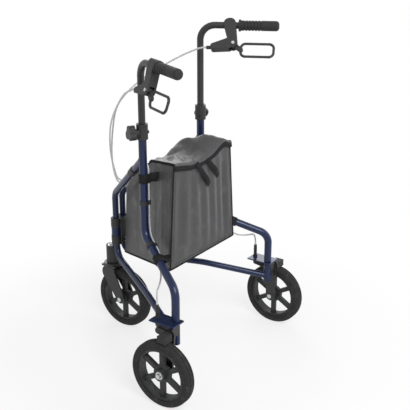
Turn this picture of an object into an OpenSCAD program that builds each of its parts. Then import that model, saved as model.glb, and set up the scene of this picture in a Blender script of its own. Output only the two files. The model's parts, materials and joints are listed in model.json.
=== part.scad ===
// Three wheel rollator: a folding walking aid with a swivelling front wheel, handles that
// slide in their posts, loop brakes and a bag hung between the two side frames.
// The front faces -Y, the user's left is +X, and the wheels stand on z = 0.

/* [Wheels] */
// Outside diameter of the three wheels
wheel_d = 190; // [180:1:205]
// Width of a tyre
tyre_w = 32; // [26:1:36]
// Depth of a tyre from its tread to the rim
tyre_t = 20; // [14:1:24]
// Number of spokes in a hub
spokes = 6; // [4:1:8]
// Width of a spoke
spoke_w = 13; // [8:1:18]
// Diameter of the axles
axle_d = 8; // [6:0.5:10]

/* [Side frames] */
// Angle of each side frame from the line of travel
splay = 29.5; // [26:0.1:32]
// Distance between the two fold axes
hinge_gap = 32; // [30:1:40]
// Outside diameter of the front tube, top rail and bottom rail
rail_d = 19; // [18:0.1:21]
// Outside diameter of the post and the rear rail
post_d = 22.2; // [21:0.1:24]
// Wall of every tube
tube_wall = 1.6; // [1.2:0.1:2]
// Distance from the fold axis to the post
post_reach = 240; // [228:1:250]
// Distance from the fold axis to the rear leg
leg_reach = 447; // [430:1:470]
// Height where the top rail's line meets the front tube
column_top_z = 443; // [430:1:455]
// Height where the bottom rail's line meets the front tube
column_low_z = 240; // [232:1:242]
// Height where the top rail's line meets the post
rail_post_z = 615; // [600:1:625]
// Top of the post
post_top_z = 700; // [690:1:715]
// Height where the rear rail's line meets the post
rear_rail_z = 393; // [380:1:405]
// Height where the rear rail's line meets the leg
leg_top_z = 315; // [305:1:325]
// Bottom end of the leg
leg_low_z = 160; // [155:1:165]
// Height where the bottom rail's line meets the leg
rail_leg_z = 177; // [174:1:180]
// Distance from the fold axis to the knee of the bottom rail
knee_reach = 250; // [220:1:280]
// Height of that knee
knee_z = 215; // [210:1:220]
// Bend radius of the tubes
bend_r = 40; // [34:1:42]

/* [Front caster] */
// Distance of the front axle behind the swivel axis
caster_trail = 45; // [40:1:50]
// Distance of the fold axes behind the swivel axis
hinge_set = 33; // [30:1:38]
// Outside diameter of the swivel housing
head_d = 40; // [36:1:44]
// Top of the swivel housing
head_top_z = 262; // [255:1:266]
// Diameter of the swivel stem
stem_d = 12; // [10:0.5:14]
// Bottom of the hinge bracket
bracket_low_z = 280; // [279:1:288]
// Height of the hinge bracket
bracket_h = 84; // [76:1:96]
// Height of each hinge block
block_h = 28; // [24:1:32]
// Wall of the hinge blocks round the tubes
hinge_wall = 6.5; // [5:0.5:8]

/* [Rear wheels] */
// Distance from the leg out to the middle of the wheel
wheel_out = 54; // [51:1:58]
// Distance of the rear axle ahead of the leg
axle_lead = 4; // [2:1:10]
// Thickness of the wheel fork's blade
blade_t = 6; // [4:0.5:7]
// Top of the wheel fork
fork_top_z = 222; // [218:1:226]
// Gap from the brake shoe to the tyre
shoe_gap = 3; // [2.5:0.1:4]

/* [Handles] */
// Height of the left grip's axis
grip_z = 878; // [840:1:920]
// How much further the right handle is drawn out
right_extra = 62; // [0:1:70]
// Turn of the handles in from the side frames
handle_turn = 3; // [0:0.5:8]
// Bend radius of the handle tubes
handle_bend_r = 42; // [36:1:48]
// Distance from the post's axis to the rear end of the grip
grip_end = 221; // [210:1:235]
// Length of the grip
grip_len = 112; // [100:1:116]
// Diameter of the grip
grip_d = 28; // [26:0.5:32]
// Bottom end of the left handle tube
handle_low_z = 520; // [515:1:560]
// Height of the clamp knobs
knob_z = 688; // [680:1:690]
// Length of a brake lever's loop
loop_len = 90; // [80:1:96]
// Width of a brake lever's loop between its bars' axes
loop_w = 40; // [36:1:46]
// How far the left brake is turned about its grip, towards the user's left
left_brake_lean = 20; // [0:1:30]
// How far the right brake is turned about its grip, towards the user's left
right_brake_lean = 40; // [30:1:50]
// Diameter of the loop's bar
loop_bar_d = 7; // [6:0.5:8]

/* [Bag] */
// Front of the bag, behind the fold axes
bag_front = 36; // [33:1:46]
// Rear of the bag, behind the fold axes
bag_rear = 312; // [290:1:320]
// Lowest point of the bag's front
bag_front_low_z = 262; // [250:1:275]
// Lowest point of the bag's rear
bag_rear_low_z = 322; // [310:1:335]
// Top of the bag's front
bag_front_top_z = 488; // [470:1:500]
// Top of the bag's shoulder
bag_shoulder_z = 590; // [570:1:600]
// Top of the bag's rear
bag_rear_top_z = 614; // [600:1:620]
// Distance of the bag's shoulder behind the fold axes
bag_shoulder = 191; // [175:1:205]
// Half the bag's width at its front, at the height of its rear bottom
bag_nose = 16; // [14:1:20]
// Half the bag's width at its rear bottom
bag_half = 156; // [145:1:160]
// Lean of the bag's sides towards its top
bag_lean = 4; // [2:0.5:6]
// Thickness of the bag's padded cloth
bag_wall = 3; // [2:0.5:5]

/* [Brake cables] */
// Outside diameter of a brake cable
cable_d = 5; // [4:0.5:5.5]

/* [Hidden] */
$fn = 64;
// Extra length of every cutting shape
over = 1;
// Radial clearance of shafts that turn or slide
run_gap = 0.05;
// Gap between faces that move past each other
face_gap = 0.3;

// Share of their round ends' radii at which the sides of flat arms start
arm_tuck_share = 0.99;

// Wheel sizes
tread_round = 9;
groove_d = 4;
groove_pitch = 12;
rim_t = 8;
rim_inset = 3;
web_t = 12;
boss_r = 17;
boss_land = 9;
hub_w = 34;
bearing_d = 22;
bearing_w = 7;
nut_d = 15;
nut_h = 6;
spacer_d = 13;
fork_gap = 4;

// Caster sizes
crown_gap = 4;
crown_t = 6;
crown_len = 52;
cup_d = 56;
cup_h = 5;
caster_blade_t = 5;
caster_eye_r = 15;
caster_top_r = 25;
stem_head_d = 20;
stem_head_h = 4;
swivel_bearing_d = 28;
swivel_bearing_w = 8;
head_bore_d = 20;
head_web_w = 20;
head_web_low_rise = 8;
link_t = 6;
sleeve_d = 30;
bolt_d = 6;
bolt_head_d = 11;
bolt_head_h = 4;
bolt_depth = 18;
bolt_edge = 8;

// Rail sizes
tube_stub = 6;
bend_swell = 0.3;
bend_tuck = 1;
knee_bend_r = 260;

// Rear wheel mount and brake sizes
eye_r = 16;
fork_top_r = 20;
lug_r = 11;
fork_block_h = 30;
fork_block_w = 24;
shaft_d = 10;
shaft_lead = 30;
shaft_rise = 16;
horn_set = 18;
horn_t = 4;
horn_len = 22;
horn_tip_r = 6;
arm_t = 5;
arm_root_r = 9;
arm_tip_r = 8;
shoe_lag = 8;
shoe_rise = 14;
shoe_len = 26;
shoe_top = 7;
brake_plate_t = 4;
brake_plate_in = 15;
brake_plate_back = 16;
brake_plate_lead = 12;
adjuster_d = 10;
adjuster_h = 26;
adjuster_tip_d = 8.5;
adjuster_tip_h = 8;
adjuster_nut_d = 14;
adjuster_nut_h = 5;
adjuster_below = 2;
adjuster_thread_d = 7;

// Height clamp sizes
collar_wall = 4.5;
collar_low = 18;
collar_high = 24;
clamp_boss_d = 22;
clamp_boss_reach = 18;
screw_d = 8;
rivet_d = 9;
rivet_h = 3;
knob_hub_d = 24;
knob_hub_h = 4;
knob_lobe_r = 11;
knob_lobe_reach = 11;
knob_core_r = 14;
knob_h = 17;

// Grip and brake lever sizes
grip_flange_d = 33;
grip_flange_w = 5;
grip_round = 9;
grip_cap_t = 4;
grip_rings = 6;
grip_ring_pitch = 9;
grip_ring_d = 3.2;
grip_ring_start = 16;
housing_r = 17;
housing_at = 84;
housing_w = 24;
housing_wall = 5;
pivot_at = 98;
pivot_drop = 62;
pivot_r = 12;
nose_at = 44;
nose_drop = 72;
nose_r = 8;
nose_root_at = 84;
nose_root_r = 15;
pin_d = 6;
pin_head_d = 9;
pin_head_h = 2;
lever_boss_r = 9;
lever_boss_room = 2;
lever_neck_r = 6;
lever_neck_w = 9;
loop_at = 120;
loop_drop = 78;
loop_corner_r = 13;
barrel_d = 10;
barrel_len = 20;
cable_room = 0.6;

// Bag sizes
lid_t = 3;
lid_hang = 16;
tab_w = 15;
tab_t = 4.2;
tab_slant = 37;
tab_len = 96;
tab_tops = [[44, -8], [-8, -12]];
webbing_t = 2;
webbing_w = 26;
post_loop_z = 560;
rail_loop_reach = 336;

// Brake cable clips: along the top rail, down the post and along the rear rail
clip_t = 2;
clip_w = 12;
joint_clip_w = 30;
joint_clip_reach = 160;
post_clip_z = 490;
rail_clip_reach = 282;
cable_sides = 8;
cable_end_gap = 1;
ring_pitch = 14;

// Hand chosen routes, from the front axle's place: right cable, left cable
right_arc = [[-98, 190, 870], [-95, 140, 846], [-84, 92, 818], [-62, 46, 784], [-38, 10, 748],
             [-18, -18, 705], [-8, -36, 655], [-6, -43, 588], [-7, -34, 520], [-9, -16, 480], [-13, 6, 475]];
left_arc = [[150, 174, 800], [130, 138, 784], [107, 100, 756], [82, 64, 724], [56, 32, 690],
            [34, 6, 650], [18, -14, 604], [9, -24, 552], [7, -21, 512], [8.5, -7, 482], [12, 8, 477]];
// Hand chosen run of both along the top rail: distance from the fold axis, gap to the clips' line
rail_run = [[45, 2.5], [90, 1.5], [122, 0.6]];
// Hand chosen routes of the lower cable: outward, rearward from the fold axis, up
post_turn = [[-15, 207, 588], [-15.5, 226, 597], [-15.5, 239, 584], [-14.8, 240, 566]];
rail_turn = [[-14.6, 240, 430], [-14.6, 247, 398]];
brake_drop = [[-15, 302, 366], [-11, 320, 338], [0, 350, 312], [18, 380, 303], [33, 402, 299]];

// Places worked out from the sizes above
wheel_r = wheel_d / 2;
rim_r = wheel_r - tyre_t;
rail_bore = rail_d - 2 * tube_wall;
post_bore = post_d - 2 * tube_wall;
handle_d = post_bore - 2 * run_gap;
handle_bore = handle_d - 2 * tube_wall;
half_gap = hinge_gap / 2;
rear_run = hinge_set - caster_trail + leg_reach * cos(splay) - axle_lead;
front_y = -rear_run / 2;
swivel_y = front_y - caster_trail;
hinge_y = swivel_y + hinge_set;
leg_x = half_gap + leg_reach * sin(splay);
leg_y = hinge_y + leg_reach * cos(splay);
rear_y = leg_y - axle_lead;
wheel_x = leg_x + wheel_out;
blade_out_x = wheel_x - tyre_w / 2 - fork_gap;
blade_in_x = blade_out_x - blade_t;
crown_z = wheel_d + crown_gap;
head_low_z = crown_z + crown_t + cup_h + face_gap;
block_r = rail_d / 2 + hinge_wall;
shaft_y = leg_y - shaft_lead;
shaft_z = wheel_d + shaft_rise;
horn_x = blade_in_x - horn_set;
adjuster_x = horn_x + horn_t / 2;
adjuster_y = shaft_y - horn_len;
adjuster_z = fork_top_z + brake_plate_t;
arm_x = blade_out_x + face_gap;
shoe_y = rear_y + shoe_lag;
shoe_z = wheel_d + shoe_rise;
bag_splay = atan((bag_half - bag_nose) / (bag_rear - bag_front));
half_space = 2 * leg_reach;

// Corner points of the tubes' centre lines, as distance from the fold axis and height
column_top = [0, column_top_z];
column_low = [0, column_low_z];
knee = [knee_reach, knee_z];
rail_foot = [leg_reach, rail_leg_z];
rail_head = [post_reach, rail_post_z];
post_top = [post_reach, post_top_z];
post_low = [post_reach, rear_rail_z];
leg_top = [leg_reach, leg_top_z];
leg_low = [leg_reach, leg_low_z];

// Points where one tube of a run ends and the next begins
function along(a, b, d) = a + (b - a) * d / norm(b - a);
function heading(a, b) = atan2(b[1] - a[1], b[0] - a[0]);
function wrapped(t) = t > 180 ? t - 360 : t < -180 ? t + 360 : t;
function turn(a, b, c) = wrapped(heading(b, c) - heading(a, b));
function setback(a, b, c, r) = r * tan(abs(turn(a, b, c)) / 2);
top_seam = along(column_top, rail_head, setback(column_low, column_top, rail_head, bend_r) + tube_stub);
low_seam = along(column_low, knee, setback(column_top, column_low, knee, bend_r) + tube_stub);
post_seam = along(post_low, leg_top, setback(post_top, post_low, leg_top, bend_r) + tube_stub);

// Whole brake cable routes, with their ends in the barrel, the clips and the adjuster
handle_angle = splay - handle_turn;
post_place = [half_gap + post_reach * sin(splay), hinge_y + post_reach * cos(splay)];
rail_slope = heading(column_top, rail_head);
rear_slope = heading(post_low, leg_top);
top_side = rail_d / 2 + clip_t / 2 + cable_d / 2;
rear_side = post_d / 2 + clip_t / 2 + cable_d / 2;

function side_place(p) = [half_gap + p[1] * sin(splay) + p[0] * cos(splay),
                          hinge_y + p[1] * cos(splay) - p[0] * sin(splay), p[2]];
function handle_place(p) = [post_place[0] + p[1] * sin(handle_angle) + p[0] * cos(handle_angle),
                            post_place[1] + p[1] * cos(handle_angle) - p[0] * sin(handle_angle), p[2]];
function flipped(p, side) = [side * p[0], p[1], p[2]];
function lift(side) = side < 0 ? right_extra : 0;
function brake_lean(side) = side < 0 ? -right_brake_lean : left_brake_lean;
function on_top_rail(reach) = [-top_side, reach, column_top_z + reach * tan(rail_slope)];
function on_rear_rail(reach) = [-rear_side, reach, rear_rail_z + (reach - post_reach) * tan(rear_slope)];
barrel_mouth = nose_at - barrel_len;
function cable_exit(reach, side) = handle_place([nose_drop * sin(brake_lean(side)), reach,
                                                 grip_z + lift(side) - nose_drop * cos(brake_lean(side))]);
function upper_route(side) = concat(
    [for (k = [barrel_mouth + barrel_len / 2, barrel_mouth - cable_d]) flipped(cable_exit(k, side), side)],
    [for (p = side < 0 ? right_arc : left_arc) p + [0, front_y, 0]],
    [for (k = rail_run) flipped(side_place(on_top_rail(k[0]) - [k[1], 0, 0]), side)],
    [for (k = [joint_clip_reach - joint_clip_w / 2, joint_clip_reach - cable_end_gap])
        flipped(side_place(on_top_rail(k)), side)]);
function frame_route() = concat(
    [for (k = [joint_clip_reach + cable_end_gap, joint_clip_reach + joint_clip_w / 2]) on_top_rail(k)],
    post_turn,
    [for (k = [clip_w, -clip_w]) [-rear_side, post_reach, post_clip_z + k]],
    rail_turn,
    [for (k = [-clip_w / 2, clip_w / 2]) on_rear_rail(rail_clip_reach + k)],
    brake_drop);
function lower_route(side) = [for (p = concat(
    [for (q = frame_route()) side_place(q)],
    [for (k = [adjuster_tip_h, -adjuster_tip_h]) [adjuster_x, adjuster_y, adjuster_top_z + k]]))
    flipped(p, side)];
adjuster_top_z = adjuster_z + adjuster_nut_h + adjuster_h + adjuster_tip_h;

// Frames of reference

module on_half(side) {
    mirror([side < 0 ? 1 : 0, 0, 0])
    children();
}

// Side frame: X is outward, Y is the distance from the fold axis
module on_side(side) {
    on_half(side)
    translate([half_gap, hinge_y, 0])
    rotate([0, 0, -splay])
    children();
}

// Handle: Y is the distance from the post's axis
module on_handle(side) {
    on_side(side)
    translate([0, post_reach, lift(side)])
    rotate([0, 0, handle_turn])
    children();
}

// Brake: the handle's frame, turned about the grip's axis
module on_brake(side) {
    on_handle(side)
    translate([0, 0, grip_z])
    rotate([0, -brake_lean(side), 0])
    translate([0, 0, -grip_z])
    children();
}

// A drawing in the plane of Y and Z, with its thickness along X
module upright() {
    rotate([90, 0, 90])
    children();
}

module plate(x, t) {
    translate([x, 0, 0])
    upright()
    linear_extrude(t)
    children();
}

// A shape drawn about Z, turned to lie along X
module across(x, y, z) {
    translate([x, y, z])
    rotate([0, 90, 0])
    children();
}

// Shapes that repeat

module ring(d, bore, h) {
    difference() {
        cylinder(d = d, h = h);
        translate([0, 0, -over])
        cylinder(d = bore, h = h + 2 * over);
    }
}

// Flat arm with round ends of two radii
module arm(a, ra, b, rb) {
    h = heading(a, b);
    k = acos((ra - rb) / norm(b - a));
    up = arm_tuck_share * [cos(h + k), sin(h + k)];
    down = arm_tuck_share * [cos(h - k), sin(h - k)];
    translate(a) circle(r = ra);
    translate(b) circle(r = rb);
    polygon([a + ra * up, b + rb * up, b + rb * down, a + ra * down]);
}

module straight(a, b, d) {
    translate([a[0], a[1], 0])
    rotate([0, 0, heading(a, b)])
    rotate([0, 90, 0])
    cylinder(d = d, h = norm(b - a));
}

module bend(a, b, c, r, d) {
    t = turn(a, b, c);
    h = heading(a, b);
    back = setback(a, b, c, r);
    start = along(b, a, back);
    centre = start + sign(t) * r * [-sin(h), cos(h)];
    from = t > 0 ? start : along(b, c, back);
    translate([centre[0], centre[1], 0])
    rotate([0, 0, heading(centre, from)])
    rotate_extrude(angle = abs(t))
    translate([r, 0])
    circle(d = d);
}

// Round bar that follows corner points, with a bend radius at each inner corner.
// A bend is a little fuller than the bar, and the bar's ends tuck into it.
module bent_bar(points, radii, d) {
    last = len(points) - 1;
    backs = [for (i = [0 : last]) i == 0 || i == last ? 0
        : setback(points[i - 1], points[i], points[i + 1], radii[i]) - bend_tuck];
    for (i = [0 : last - 1])
        straight(along(points[i], points[i + 1], backs[i]),
                 along(points[i + 1], points[i], backs[i + 1]), d);
    for (i = [1 : 1 : last - 1])
        bend(points[i - 1], points[i], points[i + 1], radii[i], d + bend_swell);
}

// The same points with the ends lengthened for a bore, or shortened for a closed end
function lengthened(points, end_over) = let (last = len(points) - 1)
    [for (i = [0 : last])
        i == 0 ? along(points[0], points[1], -over)
        : i == last ? along(points[last], points[last - 1], -end_over) : points[i]];

module bent_tube(points, radii, d, bore, end_over = over) {
    difference() {
        bent_bar(points, radii, d);
        bent_bar(lengthened(points, end_over), radii, bore);
    }
}

// Cable routes: a smooth curve through the points, and a tube swept along it

function chord(p, i) = norm(p[i + 1] - p[i]);
function speed(p, i) = let (last = len(p) - 1)
    i == 0 ? (p[1] - p[0]) / chord(p, 0)
    : i == last ? (p[last] - p[last - 1]) / chord(p, last - 1)
    : let (a = chord(p, i - 1), b = chord(p, i))
      ((p[i + 1] - p[i]) * a / b + (p[i] - p[i - 1]) * b / a) / (a + b);
function hermite(p, i, t) = let (d = chord(p, i), a = speed(p, i) * d, b = speed(p, i + 1) * d)
    (2 * t ^ 3 - 3 * t ^ 2 + 1) * p[i] + (t ^ 3 - 2 * t ^ 2 + t) * a
    + (3 * t ^ 2 - 2 * t ^ 3) * p[i + 1] + (t ^ 3 - t ^ 2) * b;
function smooth(p) = concat(
    [for (i = [0 : len(p) - 2]) let (n = ceil(chord(p, i) / ring_pitch))
        for (k = [0 : n - 1]) hermite(p, i, k / n)],
    [p[len(p) - 1]]);
function facing(p, i) = let (d = p[min(i + 1, len(p) - 1)] - p[max(i - 1, 0)]) d / norm(d);

module swept_cable(route) {
    p = smooth(route);
    n = len(p);
    m = cable_sides;
    corners = [for (i = [0 : n - 1])
        let (t = facing(p, i), u = cross(t, [1, 0, 0]) / norm(cross(t, [1, 0, 0])), v = cross(t, u))
        for (j = [0 : m - 1]) p[i] + cable_d / 2 * (cos(360 * j / m) * u + sin(360 * j / m) * v)];
    walls = [for (i = [0 : n - 2]) for (j = [0 : m - 1])
        let (a = i * m + j, b = i * m + (j + 1) % m)
        each [[a, a + m, b], [b, a + m, b + m]]];
    caps = [for (j = [1 : m - 2]) each [[0, j, j + 1], [(n - 1) * m, (n - 1) * m + j + 1, (n - 1) * m + j]]];
    polyhedron(points = corners, faces = concat(walls, caps));
}

// Front column

module hinge_block(z, back) {
    for (side = [-1, 1])
        translate([side * half_gap, hinge_y, z])
        cylinder(r = block_r, h = block_h);
    translate([-half_gap, hinge_y - block_r, z])
    cube([hinge_gap, 2 * block_r + back, block_h]);
}

module hinge_bores() {
    for (side = [-1, 1])
        translate([side * half_gap, hinge_y, bracket_low_z - over])
        cylinder(d = rail_d + 2 * run_gap, h = bracket_h + 2 * over);
}

module hinge_bolt_shanks() {
    for (z = [bolt_edge, block_h - bolt_edge])
        translate([0, hinge_y + block_r + link_t, bracket_low_z + z])
        rotate([90, 0, 0])
        cylinder(d = bolt_d, h = link_t + bolt_depth);
}

module hinge_bracket() {
    color("#17181b")
    difference() {
        union() {
            hinge_block(bracket_low_z + bracket_h - block_h, link_t);
            translate([-half_gap, hinge_y + block_r, bracket_low_z])
            cube([hinge_gap, link_t, bracket_h]);
        }
        hinge_bores();
        hinge_bolt_shanks();
    }
}

module caster_head() {
    color("#17181b")
    difference() {
        union() {
            hinge_block(bracket_low_z, 0);
            translate([0, swivel_y, head_low_z])
            cylinder(d = head_d, h = head_top_z - head_low_z);
            plate(-head_web_w / 2, head_web_w)
            polygon([[swivel_y, head_low_z + head_web_low_rise], [swivel_y, head_top_z],
                     [hinge_y - block_r, bracket_low_z + block_h],
                     [hinge_y - block_r / 2, bracket_low_z + block_h],
                     [hinge_y - block_r / 2, bracket_low_z], [hinge_y - block_r, bracket_low_z]]);
        }
        hinge_bores();
        hinge_bolt_shanks();
        translate([0, swivel_y, head_low_z - over]) {
            cylinder(d = head_bore_d, h = head_top_z - head_low_z + 2 * over);
            cylinder(d = swivel_bearing_d, h = swivel_bearing_w + over);
        }
        translate([0, swivel_y, head_top_z - swivel_bearing_w])
        cylinder(d = swivel_bearing_d, h = swivel_bearing_w + bracket_h);
    }
}

module hinge_bolts() {
    color("#55585c") {
        hinge_bolt_shanks();
        for (z = [bolt_edge, block_h - bolt_edge])
            translate([0, hinge_y + block_r + link_t + bolt_head_h, bracket_low_z + z])
            rotate([90, 0, 0])
            cylinder(d = bolt_head_d, h = bolt_head_h);
    }
}

module caster_bearings() {
    color("#b8bcc0")
    for (z = [head_low_z, head_top_z - swivel_bearing_w])
        translate([0, swivel_y, z])
        ring(swivel_bearing_d, stem_d + 2 * run_gap, swivel_bearing_w);
}

// Caster

module caster_fork() {
    half = tyre_w / 2 + fork_gap;
    color("#17181b")
    difference() {
        union() {
            for (x = [-half - caster_blade_t, half])
                plate(x, caster_blade_t)
                difference() {
                    arm([front_y, wheel_r], caster_eye_r,
                        [swivel_y, crown_z + crown_t - caster_top_r], caster_top_r);
                    translate([swivel_y - wheel_d, crown_z + crown_t])
                    square(2 * wheel_d);
                }
            translate([-half - caster_blade_t, swivel_y - crown_len / 2, crown_z])
            cube([2 * (half + caster_blade_t), crown_len, crown_t]);
            translate([0, swivel_y, crown_z])
            cylinder(d = cup_d, h = crown_t + cup_h);
        }
        translate([0, swivel_y, crown_z - over])
        cylinder(d = stem_d, h = crown_t + cup_h + 2 * over);
        across(-half - caster_blade_t - over, front_y, wheel_r)
        cylinder(d = axle_d, h = 2 * (half + caster_blade_t + over));
    }
}

module caster_stem() {
    color("#b8bcc0")
    translate([0, swivel_y, 0]) {
        translate([0, 0, crown_z - stem_head_h])
        cylinder(d = stem_head_d, h = stem_head_h);
        translate([0, 0, crown_z])
        cylinder(d = stem_d, h = head_top_z + face_gap + nut_h - crown_z);
        translate([0, 0, head_top_z + face_gap])
        cylinder(d = stem_head_d, h = nut_h);
        translate([0, 0, head_top_z + face_gap + nut_h])
        cylinder(d1 = stem_head_d, d2 = stem_d, h = stem_head_h);
    }
}

// Axle along X with a nut at each end and spacers that hold the bearings
module axle(low, high, spacers) {
    across(low, 0, 0) cylinder(d = axle_d, h = high - low);
    for (s = spacers) across(s[0], 0, 0) cylinder(d = spacer_d, h = s[1] - s[0]);
}

module front_axle() {
    inner = hub_w / 2 + face_gap;
    blade = tyre_w / 2 + fork_gap;
    end = blade + caster_blade_t + nut_h;
    color("#b8bcc0")
    translate([0, front_y, wheel_r]) {
        axle(-end, end, [[-blade, -inner], [inner, blade]]);
        for (x = [-end, end - nut_h])
            across(x, 0, 0) cylinder(d = nut_d, h = nut_h, $fn = 6);
    }
}

// Wheels, drawn about Z

module tyre() {
    color("#1d1e20")
    rotate_extrude()
    difference() {
        union() {
            translate([rim_r, -tyre_w / 2])
            square([tyre_t - tread_round, tyre_w]);
            translate([rim_r, tread_round - tyre_w / 2])
            square([tyre_t, tyre_w - 2 * tread_round]);
            for (e = [-1, 1])
                translate([wheel_r - tread_round, e * (tyre_w / 2 - tread_round)])
                circle(r = tread_round);
        }
        for (e = [-1, 1])
            translate([wheel_r, e * groove_pitch / 2])
            circle(d = groove_d);
    }
}

module hub() {
    rim_w = tyre_w - 2 * rim_inset;
    color("#2a2c2f")
    difference() {
        union() {
            translate([0, 0, -rim_w / 2])
            ring(2 * rim_r, 2 * (rim_r - rim_t), rim_w);
            cylinder(r = boss_r + boss_land, h = web_t, center = true);
            for (i = [0 : spokes - 1])
                rotate([0, 0, 360 * i / spokes])
                translate([0, -spoke_w / 2, -web_t / 2])
                cube([rim_r - rim_t / 2, spoke_w, web_t]);
            cylinder(r = boss_r, h = hub_w, center = true);
        }
        cylinder(d = spacer_d, h = hub_w + 2 * over, center = true);
        for (e = [-1, 1])
            translate([0, 0, e * (hub_w - bearing_w + over) / 2])
            cylinder(d = bearing_d, h = bearing_w + over, center = true);
    }
}

module wheel_bearings() {
    color("#b8bcc0")
    for (z = [-hub_w / 2, hub_w / 2 - bearing_w])
        translate([0, 0, z])
        ring(bearing_d, axle_d + 2 * run_gap, bearing_w);
}

module at_front_wheel() {
    across(0, front_y, wheel_r)
    children();
}

module at_rear_wheel(side) {
    on_half(side)
    across(wheel_x, rear_y, wheel_r)
    children();
}

// Side frames

module solid_post() {
    translate([0, post_reach, rear_rail_z])
    cylinder(d = post_d, h = post_top_z - rear_rail_z);
}

module solid_leg() {
    translate([0, leg_reach, leg_low_z])
    cylinder(d = post_d, h = leg_top_z - leg_low_z);
}

module front_tube(side) {
    points = [top_seam, column_top, column_low, low_seam];
    radii = [0, bend_r, bend_r, 0];
    color("#1f2f7a")
    on_side(side)
    difference() {
        union() {
            upright()
            bent_bar(points, radii, rail_d);
            translate([0, 0, bracket_low_z + block_h + face_gap])
            cylinder(d = sleeve_d, h = bracket_h - 2 * block_h - 2 * face_gap);
        }
        upright()
        bent_bar(lengthened(points, over), radii, rail_bore);
    }
}

module top_rail(side) {
    color("#1f2f7a")
    on_side(side)
    difference() {
        upright()
        bent_tube([top_seam, rail_head], [0, 0], rail_d, rail_bore);
        solid_post();
    }
}

module bottom_rail(side) {
    color("#1f2f7a")
    on_side(side)
    difference() {
        upright()
        bent_tube([low_seam, knee, rail_foot], [0, knee_bend_r, 0], rail_d, rail_bore);
        solid_leg();
    }
}

module post(side) {
    color("#1f2f7a")
    on_side(side)
    difference() {
        upright()
        bent_tube([post_top, post_low, post_seam], [0, bend_r, 0], post_d, post_bore);
        across(0, post_reach, knob_z)
        cylinder(d = screw_d + 2 * run_gap, h = post_d);
    }
}

module rear_rail(side) {
    color("#1f2f7a")
    on_side(side)
    upright()
    bent_tube([post_seam, leg_top, leg_low], [0, bend_r, 0], post_d, post_bore, -tube_wall);
}

module brake_bracket(side) {
    low_y = adjuster_y - brake_plate_lead;
    color("#1f2f7a")
    difference() {
        on_half(side)
        translate([leg_x - brake_plate_in, low_y, fork_top_z])
        cube([blade_out_x - leg_x + brake_plate_in, leg_y + brake_plate_back - low_y, brake_plate_t]);
        on_side(side)
        solid_leg();
        on_half(side)
        translate([adjuster_x, adjuster_y, fork_top_z - over])
        cylinder(d = adjuster_thread_d, h = brake_plate_t + 2 * over);
    }
}

module wheel_fork(side) {
    top = [leg_y, fork_top_z - fork_top_r];
    color("#17181b")
    difference() {
        on_half(side) {
            plate(blade_in_x, blade_t) {
                arm([rear_y, wheel_r], eye_r, top, fork_top_r);
                arm([shaft_y, shaft_z], lug_r, top, fork_top_r);
            }
            translate([leg_x, leg_y - fork_block_w / 2, fork_top_z - fork_block_h])
            cube([blade_in_x - leg_x, fork_block_w, fork_block_h]);
        }
        on_side(side)
        solid_leg();
        on_half(side) {
            across(blade_in_x - over, shaft_y, shaft_z)
            cylinder(d = shaft_d + 2 * run_gap, h = blade_t + 2 * over);
            across(blade_in_x - over, rear_y, wheel_r)
            cylinder(d = axle_d, h = blade_t + 2 * over);
        }
    }
}

module rear_axle(side) {
    inner = hub_w / 2 + face_gap;
    blade = blade_out_x - wheel_x;
    color("#b8bcc0")
    on_half(side)
    translate([wheel_x, rear_y, wheel_r]) {
        axle(blade - blade_t - nut_h, inner + nut_h, [[blade, -inner]]);
        across(blade - blade_t - nut_h, 0, 0)
        cylinder(d = nut_d, h = nut_h, $fn = 6);
        across(inner, 0, 0)
        cylinder(d1 = nut_d, d2 = spacer_d, h = nut_h);
    }
}

module height_collar(side) {
    low = knob_z - collar_low;
    color("#17181b")
    on_side(side)
    difference() {
        union() {
            translate([0, post_reach, low])
            cylinder(d = post_d + 2 * collar_wall, h = collar_low + collar_high);
            across(0, post_reach, knob_z)
            cylinder(d = clamp_boss_d, h = clamp_boss_reach);
            across(-post_d / 2 - collar_wall - rivet_h, post_reach, knob_z)
            cylinder(d = rivet_d, h = post_d / 2);
        }
        translate([0, post_reach, low - over])
        cylinder(d = post_d, h = post_top_z - low + over);
        translate([0, post_reach, low])
        cylinder(d = handle_d + 2 * face_gap, h = collar_low + collar_high + over);
        across(0, post_reach, knob_z)
        cylinder(d = screw_d + 2 * run_gap, h = clamp_boss_reach + over);
    }
}

// Clip round a tube along Z that holds a cable beside it
module cable_clip(tube_d, offset, w) {
    difference() {
        union() {
            translate([0, 0, -w / 2])
            cylinder(d = tube_d + 2 * clip_t, h = w);
            translate([-offset, 0, -w / 2])
            cylinder(d = cable_d + 2 * (cable_room + clip_t), h = w);
        }
        translate([0, 0, -w])
        cylinder(d = tube_d, h = 2 * w);
        translate([-offset, 0, -w])
        cylinder(d = cable_d + 2 * cable_room, h = 2 * w);
    }
}

module on_rail(place, slope) {
    translate([0, place[1], place[2]])
    rotate([slope - 90, 0, 0])
    children();
}

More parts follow.
